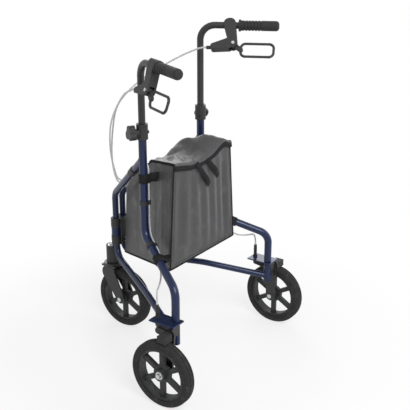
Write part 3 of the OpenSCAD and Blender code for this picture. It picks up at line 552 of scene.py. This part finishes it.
for entry in frame["record"]["subparts"]:
    if entry["material_slot"] in finishes:
        obj = nodes[entry["node"]]
        obj.data.materials.clear()
        obj.data.materials.append(finishes[entry["material_slot"]])
for cable in cables:
    dress(cable, "cable_sheath")
print("finishes:", ", ".join(finishes))

# %% [markdown]
# ## Bag cloth and webbing
# The bag is sewn from a coated nylon: dark grey, with a slight shine on its folds and a weave that
# shows only close by. The straps are ribbed webbing. Both weaves are sums of waves along the three
# axes, so that a panel shows crossed threads whichever way it faces.

# %% Bag cloth and webbing
# At scale 1 the wave texture repeats after this length
WAVE_SCALE = 0.314


def weave(place, pitch):
    inputs = {"Vector": place, "Scale": WAVE_SCALE / pitch, "Distortion": 0.0}
    waves = [place.node("ShaderNodeTexWave", {"wave_type": "BANDS", "bands_direction": axis}, inputs,
                        output="Fac") for axis in "XYZ"]
    return (waves[0] + waves[1] + waves[2]) * 0.333


def bag_cloth(place):
    threads = weave(place, 0.0012)
    cloud = grain(place, 11, 4)
    rub = ramp(grain(place, 26, 5, 0.6), 0.5, 0.75)
    body = between(cloud, (0.042, 0.042, 0.044), (0.066, 0.066, 0.069))
    return {"Base Color": between(rub * 0.25, body, (0.11, 0.11, 0.114)),
            "Roughness": 0.36 + 0.2 * cloud + 0.08 * threads, "Specular IOR Level": 0.32,
            "Coat Weight": 0.12 + 0.3 * rub, "Coat Roughness": 0.3,
            "Sheen Weight": 0.2, "Sheen Roughness": 0.4,
            "Normal": relief(threads * 0.5 + 3.0 * grain(place, 70, 3), 0.00035)}


def webbing_cloth(place):
    ribs = weave(place, 0.0016)
    cloud = grain(place, 60, 4)
    return {"Base Color": between(cloud, (0.010, 0.010, 0.011), (0.024, 0.024, 0.026)),
            "Roughness": 0.7 + 0.2 * ribs, "Specular IOR Level": 0.15,
            "Normal": relief(ribs, 0.0004)}


finishes["bag_cloth"] = make_finish("bag_cloth", bag_cloth)
finishes["webbing"] = make_finish("webbing", webbing_cloth)
print("cloth finishes ready")

# %% [markdown]
# ## Bag
# The bag hangs between the side frames, so it is narrow at the front and wide at the back. Its sizes
# and its main folds follow the photograph. They are in metres, and the places from front to back
# are measured from the fold axis.

# %% Bag sizes
BAG_FRONT, BAG_SHOULDER, BAG_REAR = 0.036, 0.191, 0.312
BAG_NOSE, BAG_HALF, BAG_LEAN = 0.016, 0.156, math.radians(4)
REAR_LOW_Z, REAR_TOP_Z, SHOULDER_Z = 0.322, 0.614, 0.590
FRONT_LOW_Z, FRONT_TOP_Z = 0.262, 0.488
BAG_SPLAY = math.atan2(BAG_HALF - BAG_NOSE, BAG_REAR - BAG_FRONT)
TOP_SAG, BASE_SAG, TOP_RIPPLE = 0.016, 0.008, 0.004
REAR_SWELL, SIDE_SWELL, CORNER_PUFF = 0.012, 0.004, 0.020
# Upright folds of the back panel: place at the top, place at the bottom, depth, width
REAR_FOLDS = [(0.104, 0.118, 0.0080, 0.018), (0.058, 0.066, 0.0060, 0.015),
              (0.022, 0.010, 0.0075, 0.014), (-0.020, -0.036, 0.0095, 0.014),
              (-0.056, -0.074, 0.0080, 0.012), (-0.092, -0.110, 0.0120, 0.013)]
# Upright folds of the side panels: place from front to back at the top, at the bottom, depth, width
SIDE_FOLDS = [(0.30, 0.34, 0.0045, 0.045), (0.52, 0.55, 0.0070, 0.040), (0.70, 0.76, 0.0065, 0.035),
              (0.86, 0.90, 0.0055, 0.028)]
print("bag panels splay by %.1f degrees" % math.degrees(BAG_SPLAY))

# %% [markdown]
# A cloth simulation could drape the bag, but its folds wouldn't lie where the photograph has them.
# Instead, one function gives every point. The cloth sags between its corners: the top edge drops in
# the middle, the back panel swells and has upright folds, the sides pull in, and the top stands up
# near its right corner.


# %% Bag surface
def bag_half_width(back, z):
    return (BAG_HALF + (back - BAG_REAR) * math.tan(BAG_SPLAY)
            - (z - REAR_LOW_Z) * math.tan(BAG_LEAN) / math.cos(BAG_SPLAY))


def bag_heights(back):
    low = np.interp(back, (BAG_FRONT, BAG_REAR), (FRONT_LOW_Z, REAR_LOW_Z))
    high = np.interp(back, (BAG_FRONT, BAG_SHOULDER, BAG_REAR), (FRONT_TOP_Z, SHOULDER_Z, REAR_TOP_Z))
    return float(low), float(high)


def bag_point(u, t, v):
    """A point of the bag: u across, t from front to back, v from bottom to top, each from 0 to 1."""
    back = BAG_FRONT + (BAG_REAR - BAG_FRONT) * t
    low, high = bag_heights(back)
    z = low + v * (high - low)
    s = 2 * u - 1
    half = bag_half_width(back, z)
    hump, run, rise = max(0.0, 4 * u * (1 - u)), 4 * t * (1 - t), 4 * v * (1 - v)
    x, y = s * half, HINGE_Y * MM + back
    swell = REAR_SWELL * hump**0.8 * rise**0.7
    for top, bottom, depth, width in REAR_FOLDS:
        at = bottom + (top - bottom) * v
        swell -= depth * math.exp(-(((x - at) / width) ** 2)) * rise
    y += swell * t**8
    side = SIDE_SWELL * run * rise
    for top, bottom, depth, width in SIDE_FOLDS:
        at = bottom + (top - bottom) * v
        side -= depth * math.exp(-(((t - at) / width) ** 2)) * rise
    side *= abs(s) ** 8 * min(1.0, half / 0.03)
    x += math.copysign(side * math.cos(BAG_SPLAY), s)
    y -= side * math.sin(BAG_SPLAY)
    z -= TOP_SAG * hump * v**4 * t**1.5 + BASE_SAG * hump * run * (1 - v) ** 6
    z -= TOP_RIPPLE * v**6 * hump * math.sin(7 * u + 4 * t)
    puff = 1 - 0.85 * math.exp(-((u / 0.07) ** 2))
    puff *= math.exp(-((max(0.0, u - 0.12) / 0.22) ** 2))
    z += CORNER_PUFF * puff * v**8 * max(0.0, (t - 0.30) / 0.70) ** 0.6
    return np.array((x, y, z))


print("back corner of the bag at", np.round(bag_point(1, 1, 1), 3))

# %% [markdown]
# A box of grid points gives the panels shared edges, so no seam can open when the bag is squeezed.
# The rows are closer at the edges, and one level of subdivision rounds them as sewn edges are.


# %% A shell from a box of grid points
def spaced(count, edge):
    return [0.0] + list(np.linspace(edge, 1 - edge, count - 1)) + [1.0]


def make_shell(name, us, ts, vs, point):
    """The six faces of a box of grid points, with shared edges."""
    index, points, faces = {}, [], []

    def corner(i, j, k):
        if (i, j, k) not in index:
            index[i, j, k] = len(points)
            points.append(point(us[i], ts[j], vs[k]))
        return index[i, j, k]

    nu, nt, nv = len(us) - 1, len(ts) - 1, len(vs) - 1
    for i in range(nu):
        for j in range(nt):
            for k, flip in ((0, True), (nv, False)):
                quad = [corner(i, j, k), corner(i + 1, j, k), corner(i + 1, j + 1, k), corner(i, j + 1, k)]
                faces.append(tuple(reversed(quad)) if flip else tuple(quad))
    for i in range(nu):
        for k in range(nv):
            for j, flip in ((0, False), (nt, True)):
                quad = [corner(i, j, k), corner(i + 1, j, k), corner(i + 1, j, k + 1), corner(i, j, k + 1)]
                faces.append(tuple(reversed(quad)) if flip else tuple(quad))
    for j in range(nt):
        for k in range(nv):
            for i, flip in ((0, True), (nu, False)):
                quad = [corner(i, j, k), corner(i, j + 1, k), corner(i, j + 1, k + 1), corner(i, j, k + 1)]
                faces.append(tuple(reversed(quad)) if flip else tuple(quad))
    return make_piece(name, points, faces)


def apply_modifiers(piece):
    graph = bpy.context.evaluated_depsgraph_get()
    mesh = bpy.data.meshes.new_from_object(piece.evaluated_get(graph))
    piece.modifiers.clear()
    piece.data = mesh
    return piece


def rounded(piece, levels=1):
    piece.modifiers.new("round", "SUBSURF").levels = levels
    piece.modifiers["round"].render_levels = levels
    return apply_modifiers(piece)


print("shell helpers ready")

# %% [markdown]
# The bag hangs on the front column, and what is sewn to it moves with it.


def on_bag(piece, slot):
    """The piece gets its finish and hangs on the column."""
    dress(piece, slot)
    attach(piece, "column")
    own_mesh(piece)
    return piece


bag = make_shell("bag_shell", spaced(40, 0.02), spaced(34, 0.02), spaced(30, 0.022), bag_point)
rounded(bag)
on_bag(bag, "bag_cloth")
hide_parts("bag")
print("bag shell:", len(bag.data.vertices), "points")

# %% [markdown]
# ## Piping
# A thin dark cord is sewn into the edges of the back panel and of the sides, which is what keeps such
# a bag square. Each tube runs along an edge of the same surface function, so it follows every sag.

# %% Piping
PIPING_R, PIPING_SIDES = 0.0024, 8


def edge_line(place, count):
    return [place(q) for q in np.linspace(0, 1, count)]


piping_runs = {
    "rear": edge_line(lambda q: bag_point(0, 1, q), 20)
    + edge_line(lambda q: bag_point(q, 1, 1), 30)[1:]
    + edge_line(lambda q: bag_point(1, 1, 1 - q), 20)[1:]
    + edge_line(lambda q: bag_point(1 - q, 1, 0), 30)[1:-1],
    "left": edge_line(lambda q: bag_point(1, q, 0), 24),
    "right": edge_line(lambda q: bag_point(0, q, 0), 24),
    "left_top": edge_line(lambda q: bag_point(1, q, 1), 30),
    "right_top": edge_line(lambda q: bag_point(0, q, 1), 30),
}
for name, line in piping_runs.items():
    run = make_tube("bag_piping_" + name, line, PIPING_R, PIPING_SIDES, closed=name == "rear")
    on_bag(run, "webbing")
print(len(piping_runs), "runs of piping made")

# %% [markdown]
# ## Lid
# The lid is a second sheet of the same cloth over the top, and its back edge hangs down a little. It
# follows the bag's top, with a dome to the right of the middle and creases from three crossing waves.
# It could be a part of the shell, but a sheet of its own has a real edge and a shadow under it.

# %% Lid surface
LID_HANG, LID_LIFT, LID_T, LID_CROWN = 0.016, 0.0030, 0.0018, 0.020
LID_OVERLAP, LID_WIDER, CREASE_DEPTH = 0.012, 1.012, 0.0026
DOME_AT, DOME_WIDTH, HANG_OUT, HANG_WAVE = 0.26, 0.20, 0.002, 0.003
# Creases of the lid: waves across, waves along, shift
LID_CREASES = [(17.0, 5.0, 0.4), (-9.0, 11.0, 1.7), (29.0, -7.0, 2.6)]


def lid_point(u, q):
    """u across, q from the front edge over the top (0 to 1) and down the back (1 to 2)."""
    start = (BAG_SHOULDER - LID_OVERLAP - BAG_FRONT) / (BAG_REAR - BAG_FRONT)
    wide = 0.5 + (u - 0.5) * LID_WIDER
    over = min(q, 1.0)
    p = bag_point(wide, start + (1 - start) * over, 1.0)
    arch = math.sin(math.pi * over)
    dome = math.exp(-(((u - DOME_AT) / DOME_WIDTH) ** 2))
    crown = LID_CROWN * arch**0.7 * (0.5 * 4 * u * (1 - u) + dome)
    for number, (across, along, shift) in enumerate(LID_CREASES, 1):
        wave = math.sin(across * u + along * over + shift + 0.7 * math.sin(6 * u * number))
        crown += CREASE_DEPTH * wave * abs(wave) * (0.25 + arch) * min(1.0, 8 * u, 8 * (1 - u))
    p += (0, 0, LID_LIFT + crown)
    if q > 1:
        drop = q - 1
        p += (0, LID_LIFT + HANG_OUT * drop, -drop * LID_HANG - HANG_WAVE * drop * math.sin(9 * u))
    return p


print("middle of the lid at", np.round(lid_point(0.5, 0.5), 3))

# %% Lid and its hem
HEM_R, HEM_RISE, HEM_SIDES = 0.0019, 0.0008, 8
COLUMNS = 41
LID_U, LID_Q = np.linspace(0, 1, COLUMNS), [*np.linspace(0, 0.97, 22), 1.0, 1.12, 1.5, 2.0]
lid_points = [lid_point(u, q) for q in LID_Q for u in LID_U]
lid_faces = [(r * COLUMNS + c, r * COLUMNS + c + 1, (r + 1) * COLUMNS + c + 1, (r + 1) * COLUMNS + c)
             for r in range(len(LID_Q) - 1) for c in range(COLUMNS - 1)]
lid = make_piece("bag_lid_sheet", lid_points, lid_faces)
lid.modifiers.new("cloth", "SOLIDIFY").thickness = LID_T
lid.modifiers["cloth"].offset = 1.0
apply_modifiers(lid)
on_bag(lid, "bag_cloth")
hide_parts("bag_lid")
hem = [lid_point(0, q) for q in LID_Q] + [lid_point(u, 2.0) for u in LID_U[1:]]
hem += [lid_point(1, q) for q in LID_Q[::-1]][1:] + [lid_point(u, 0) for u in LID_U[-2:0:-1]]
hem_line = np.array(hem) + (0, 0, HEM_RISE)
lid_hem = on_bag(make_tube("bag_lid_hem", hem_line, HEM_R, HEM_SIDES, closed=True), "webbing")
lid_widths = [line_length([lid_point(u, q) for u in LID_U]) for q in (1.0, 0.0)]
lid_length = line_length([lid_point(0.5, q) for q in LID_Q])
print("lid: %.3f m wide at the back, %.3f m at the front," % tuple(lid_widths), "%.3f m long" % lid_length)

# %% [markdown]
# ## Straps
# A black binding finishes the back edge of the lid, and two webbing tails hang from it over the back
# panel, slanting to the right. Each is a flat band with thin edges, so one helper makes them all
# from a middle line and half a width. A plain strip of faces would have no edge to catch the light.


# %% Strap helper
def make_band(name, line, across, thickness):
    """A flat band: the middle line, half its width as a vector at each sample, and its thickness."""
    line = np.array(line, float)
    across = np.broadcast_to(np.array(across, float), line.shape)
    ahead = np.gradient(line, axis=0)
    out = np.cross(ahead, across)
    out /= np.linalg.norm(out, axis=1)[:, None]
    half = thickness / 2 * out
    inner, edge = across * 0.94, half * 0.2
    rows = [line + inner + half, line + across + edge, line + across - edge, line + inner - half,
            line - inner - half, line - across - edge, line - across + edge, line - inner + half]
    sides, count = len(rows), len(line)
    points = [rows[k][i] for i in range(count) for k in range(sides)]
    faces = []
    for start in range(0, (count - 1) * sides, sides):
        for k in range(sides):
            a, b = start + k, start + (k + 1) % sides
            faces.append((a, b, b + sides, a + sides))
    faces += [tuple(reversed(range(sides))), tuple(range((count - 1) * sides, count * sides))]
    return make_piece(name, points, faces)


print("strap helper ready")

# %% Black binding along the back of the lid
BINDING_FROM, BINDING_T = 1.25, 0.0030
binding_middle = [(lid_point(u, BINDING_FROM) + lid_point(u, 2.0)) / 2 + (0, LID_T / 2, 0)
                  for u in LID_U]
binding_half = [(lid_point(u, BINDING_FROM) - lid_point(u, 2.0)) / 2 for u in LID_U]
lid_binding = make_band("bag_lid_binding", binding_middle, binding_half, BINDING_T)
on_bag(lid_binding, "webbing")

# %% Tails on the back panel
TAILS = [((0.041, 0.598), (-0.014, 0.523)), ((-0.009, 0.596), (-0.065, 0.535))]
TAIL_W, TAIL_T, TAIL_LIFT, TAIL_BOW = 0.015, 0.0018, 0.0042, 0.004


def on_back_panel(x, z, lift):
    """The point of the bag's back panel at a place across and a height, lifted off the cloth."""
    v = float(np.clip((z - REAR_LOW_Z) / (REAR_TOP_Z - REAR_LOW_Z), 0, 1))
    u = float(np.clip(0.5 + 0.5 * x / bag_half_width(BAG_REAR, z), 0, 1))
    p = bag_point(u, 1.0, v)
    return np.array((x, p[1] + lift, z))


for number, (top, bottom) in enumerate(TAILS, 1):
    ends = np.array((top, bottom))
    slant = (ends[1] - ends[0]) / np.linalg.norm(ends[1] - ends[0])
    line = []
    for q in np.linspace(0, 1, 24):
        x, z = ends[0] + (ends[1] - ends[0]) * q
        line.append(on_back_panel(x, z, TAIL_LIFT + TAIL_BOW * math.sin(math.pi * q)))
    half = np.array((-slant[1], 0, slant[0])) * TAIL_W / 2
    on_bag(make_band("bag_tail_%d" % number, line, half, TAIL_T), "webbing")
print(len(TAILS), "tails made")

# %% [markdown]
# ## Stitching
# Rows of thread hold the panels to their piping. Each stitch is a short bead of thread that dips
# into the cloth at both ends. The rows are laid on the finished shell, by finding the nearest point of
# its surface, so that they follow every fold.

# %% Stitch rows
STITCH_LEN, STITCH_GAP, STITCH_R, STITCH_SIDES = 0.0042, 0.0024, 0.0005, 6
STITCH_LIFT, STITCH_PITCH, STITCH_SLANT = 0.0003, 0.0006, (0.31, 0.87, 0.38)
bag_surface = BVHTree.FromPolygons([v.co for v in bag.data.vertices],
                                   [p.vertices for p in bag.data.polygons])


def settle(line, lift):
    """The line laid on the bag, lifted along the cloth's normal."""
    laid = []
    for p in line:
        spot, normal, _, _ = bag_surface.find_nearest(Vector(p))
        laid.append(np.array(spot + normal * lift))
    return np.array(laid)


def make_stitches(name, line):
    line = smooth_line(line, STITCH_PITCH)
    run = np.concatenate([[0], np.cumsum(np.linalg.norm(np.diff(line, axis=0), axis=1))])
    points, faces = [], []
    for start in np.arange(0, run[-1] - STITCH_LEN, STITCH_LEN + STITCH_GAP):
        rings = []
        for share in (0.0, 0.2, 0.5, 0.8, 1.0):
            at = start + share * STITCH_LEN
            middle = np.array([np.interp(at, run, line[:, k]) for k in range(3)])
            rings.append((middle, STITCH_R * (0.35 + 0.65 * math.sin(math.pi * (0.1 + 0.8 * share)))))
        ahead = rings[-1][0] - rings[0][0]
        u = np.cross(ahead, STITCH_SLANT)
        u /= np.linalg.norm(u)
        v = np.cross(ahead / np.linalg.norm(ahead), u)
        base = len(points)
        for middle, r in rings:
            for k in range(STITCH_SIDES):
                a = 2 * math.pi * k / STITCH_SIDES
                points.append(middle + r * (math.cos(a) * u + math.sin(a) * v))
        for i in range(len(rings) - 1):
            for k in range(STITCH_SIDES):
                ring = base + i * STITCH_SIDES
                a, b = ring + k, ring + (k + 1) % STITCH_SIDES
                faces.append((a, b, b + STITCH_SIDES, a + STITCH_SIDES))
        faces.append(tuple(reversed(range(base, base + STITCH_SIDES))))
        faces.append(tuple(range(len(points) - STITCH_SIDES, len(points))))
    return make_piece(name, points, faces)


STITCH_ROWS = {
    "rear_left": [bag_point(0.965, 1, v) for v in np.linspace(0.05, 0.93, 30)],
    "rear_right": [bag_point(0.035, 1, v) for v in np.linspace(0.05, 0.93, 30)],
    "rear_low": [bag_point(u, 1, 0.035) for u in np.linspace(0.05, 0.95, 40)],
    "side_left": [bag_point(1, 0.965, v) for v in np.linspace(0.05, 0.97, 30)],
    "side_right": [bag_point(0, 0.965, v) for v in np.linspace(0.05, 0.97, 30)],
}
for name, row in STITCH_ROWS.items():
    on_bag(make_stitches("bag_stitches_" + name, settle(row, STITCH_LIFT)), "webbing")
print(len(STITCH_ROWS), "rows of stitches sewn")

# %% [markdown]
# ## Loops
# Black webbing loops tie the bag to the posts and to the rear rails. A loop has a part that hugs the
# tube and a flat tab that is sewn to the bag. They are separate pieces, and both move with the tube.

# %% Loops on the tubes
LOOP_T, LOOP_W, LOOP_NECK, TAB_T = 0.0018, 0.026, 0.0215, 0.0036
LOOP_TURN, LOOP_ROOM, LOOP_PITCH, NECK_HALF = 128, 0.0002, 0.003, 0.0010
TAB_TUCK, TAB_FOLDED = 0.002, 0.5
POST_LOOP_Z, RAIL_LOOP_REACH = 560, 336
UP = np.array((0.0, 0.0, 1.0))

for side, sign in SIDES.items():
    out = np.array((sign * math.cos(SPLAY), -math.sin(SPLAY), 0.0))
    back = np.array((sign * math.sin(SPLAY), math.cos(SPLAY), 0.0))
    tilt = math.atan(REAR_SLOPE)
    along_rail = back * math.cos(tilt) + UP * math.sin(tilt)
    across_rail = -back * math.sin(tilt) + UP * math.cos(tilt)
    rail_z = REAR_RAIL_Z + (RAIL_LOOP_REACH - POST_REACH) * REAR_SLOPE
    spots = [("post", (0, POST_REACH, POST_LOOP_Z), UP, back),
             ("rail", (0, RAIL_LOOP_REACH, rail_z), along_rail, across_rail)]
    for place, spot, along, across in spots:
        centre = side_place(*spot) * MM * (sign, 1, 1)
        room = abs(centre[0]) - bag_half_width(centre[1] - HINGE_Y * MM, centre[2])
        gap = room * math.cos(BAG_SPLAY) / math.cos(SPLAY - BAG_SPLAY)
        r = POST_D / 2 * MM + LOOP_T / 2 + LOOP_ROOM
        turn = [centre + r * (math.cos(a) * out + math.sin(a) * across)
                for a in np.radians(np.linspace(-LOOP_TURN, LOOP_TURN, 40))]
        neck = [centre - out * LOOP_NECK + across * NECK_HALF * e for e in (-1, 1)]
        line = smooth_line([neck[0], *turn, neck[1]], LOOP_PITCH)
        half = along * LOOP_W / 2
        wrap = dress(make_band("bag_loop_%s_%s" % (place, side), line, half, LOOP_T), "webbing")
        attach(wrap, side + "_frame")
        start = LOOP_NECK - TAB_TUCK
        flat = [centre - out * d for d in np.linspace(start, gap, 8)]
        tab = dress(make_band("bag_tab_%s_%s" % (place, side), flat, half, TAB_T), "webbing")
        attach(tab, side + "_frame")
        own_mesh(tab)
    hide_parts("bag_loops_" + side)
print("loops and tabs made")

# %% [markdown]
# ## Weld beads
# The top rail is welded to the post and the bottom rail to the rear leg. A weld follows the line
# where one tube meets the other, which is found by asking how far along the thinner tube each of its
# sides runs before it reaches the thicker one. Small ripples give the bead its stacked look.

# %% Weld beads
BEAD_R, BEAD_STEPS, BEAD_SIDES, BEAD_RIPPLE, BEAD_WAVES = 0.0017, 96, 10, 0.16, 24
KNEE_REACH, KNEE_Z, RAIL_LEG_Z = 250, 215, 177
KNEE_SLOPE = (RAIL_LEG_Z - KNEE_Z) / (LEG_REACH - KNEE_REACH)


def make_bead(name, centre, main_way, branch_way, main_r, branch_r):
    """A closed bead where a branch tube, leaving centre along branch_way, meets a main tube."""
    u = np.cross(branch_way, main_way)
    u /= np.linalg.norm(u)
    v = np.cross(branch_way, u)
    line, radii = [], []
    d_flat = branch_way - main_way * (branch_way @ main_way)
    dd = d_flat @ d_flat
    for k in range(BEAD_STEPS):
        a = 2 * math.pi * k / BEAD_STEPS
        w = branch_r * (math.cos(a) * u + math.sin(a) * v)
        w_flat = w - main_way * (w @ main_way)
        b = w_flat @ d_flat
        s = (-b + math.sqrt(b * b - dd * (w_flat @ w_flat - main_r**2))) / dd
        line.append(centre + branch_way * s + w)
        radii.append(BEAD_R * (1 + BEAD_RIPPLE * math.sin(a * BEAD_WAVES)))
    return make_tube(name, line, radii, BEAD_SIDES, closed=True)


for side, sign in SIDES.items():
    back = np.array((sign * math.sin(SPLAY), math.cos(SPLAY), 0.0))
    for place, reach, height, slope in (("post", POST_REACH, RAIL_POST_Z, RAIL_SLOPE),
                                        ("leg", LEG_REACH, RAIL_LEG_Z, KNEE_SLOPE)):
        way = -(back + UP * slope)
        bead = make_bead("weld_%s_%s" % (place, side), side_place(0, reach, height) * MM * (sign, 1, 1), UP,
                         way / np.linalg.norm(way), POST_D / 2 * MM, RAIL_D / 2 * MM)
        dress(bead, "blue_paint")
        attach(bead, side + "_frame")
print("weld beads made")

# %% [markdown]
# ## Floor
# The walker stands on plain white. A white plane in strong light would do, but that light would bleach
# the walker too. Here the floor glows white for the camera, and close to the wheels it lets its own
# matt surface through, which shows the soft shadow.


# %% Floor
def floor_material(name, colour):
    """White where the camera sees it, with the lamps' light and shadow mixed in close to the object."""
    material = bpy.data.materials.new(name)
    material.use_nodes = True
    tree = material.node_tree
    tree.nodes.clear()
    sheet = tree.nodes.new("ShaderNodeOutputMaterial")
    mix, glow, matt = (tree.nodes.new("ShaderNode" + kind)
                       for kind in ("MixShader", "Emission", "BsdfDiffuse"))
    path = tree.nodes.new("ShaderNodeLightPath")
    place = Wire(tree, tree.nodes.new("ShaderNodeTexCoord").outputs["Object"])
    away = place.node("ShaderNodeVectorMath", {"operation": "LENGTH"}, {0: place}, output="Value")
    white = NEAR_WHITE + (1 - NEAR_WHITE) * ramp(away, FADE_START, FADE_END)
    seen = Wire(tree, path.outputs["Is Camera Ray"])
    glossy = Wire(tree, path.outputs["Is Glossy Ray"])
    glow.inputs["Color"].default_value = (1, 1, 1, 1)
    matt.inputs["Color"].default_value = (*colour, 1)
    tree.links.new(((seen + glossy) * white).socket, mix.inputs["Fac"])
    tree.links.new(matt.outputs[0], mix.inputs[1])
    tree.links.new(glow.outputs[0], mix.inputs[2])
    tree.links.new(mix.outputs[0], sheet.inputs["Surface"])
    return material


FLOOR_R, FLOOR_Z, FLOOR_SIDES = 9.0, -0.0005, 96
NEAR_WHITE, FADE_START, FADE_END = 0.72, 0.35, 0.95
ring = [(FLOOR_R * math.cos(a), FLOOR_R * math.sin(a), FLOOR_Z)
        for a in np.linspace(0, 2 * math.pi, FLOOR_SIDES, endpoint=False)]
floor = make_piece("floor", ring, [tuple(range(FLOOR_SIDES))], smooth=False)
floor.data.materials.append(floor_material("floor_white", (0.90, 0.90, 0.90)))
print("floor of radius", FLOOR_R, "m made")

# %% [markdown]
# ## World and lamps
# The world is white where the camera or a reflection sees it, and gives a plain, weaker light to
# everything else. Three large soft lamps add the direction and the long, calm reflections on the tubes.

# %% World
SKY_LIGHT = 0.42
world = bpy.data.worlds.new("studio")
world.use_nodes = True
bpy.context.scene.world = world
tree = world.node_tree
tree.nodes.clear()
sky_out = tree.nodes.new("ShaderNodeOutputWorld")
sky = tree.nodes.new("ShaderNodeBackground")
path = tree.nodes.new("ShaderNodeLightPath")
direct = Wire(tree, path.outputs["Is Camera Ray"])
glossy = Wire(tree, path.outputs["Is Glossy Ray"])
sky.inputs["Color"].default_value = (1, 1, 1, 1)
tree.links.new((SKY_LIGHT + (1 - SKY_LIGHT) * (direct + glossy)).socket, sky.inputs["Strength"])
tree.links.new(sky.outputs[0], sky_out.inputs["Surface"])
print("world light", SKY_LIGHT)

# %% Lamps
LAMPS = [("key", (1.3, 2.3, 2.7), 1.6, 72), ("fill", (-1.8, 1.8, 1.6), 1.8, 12),
         ("rim", (-2.3, -1.6, 1.7), 1.8, 26)]
LAMP_AIM = Vector((0, 0, 0.45))
for name, place, size, power in LAMPS:
    lamp = bpy.data.lights.new(name, "AREA")
    lamp.size, lamp.energy = size, power
    made = bpy.data.objects.new(name, lamp)
    made.location = place
    made.rotation_euler = (LAMP_AIM - Vector(place)).to_track_quat("-Z", "Y").to_euler()
    bpy.context.scene.collection.objects.link(made)
bpy.context.scene.view_settings.view_transform = "Standard"
print(len(LAMPS), "lamps made")
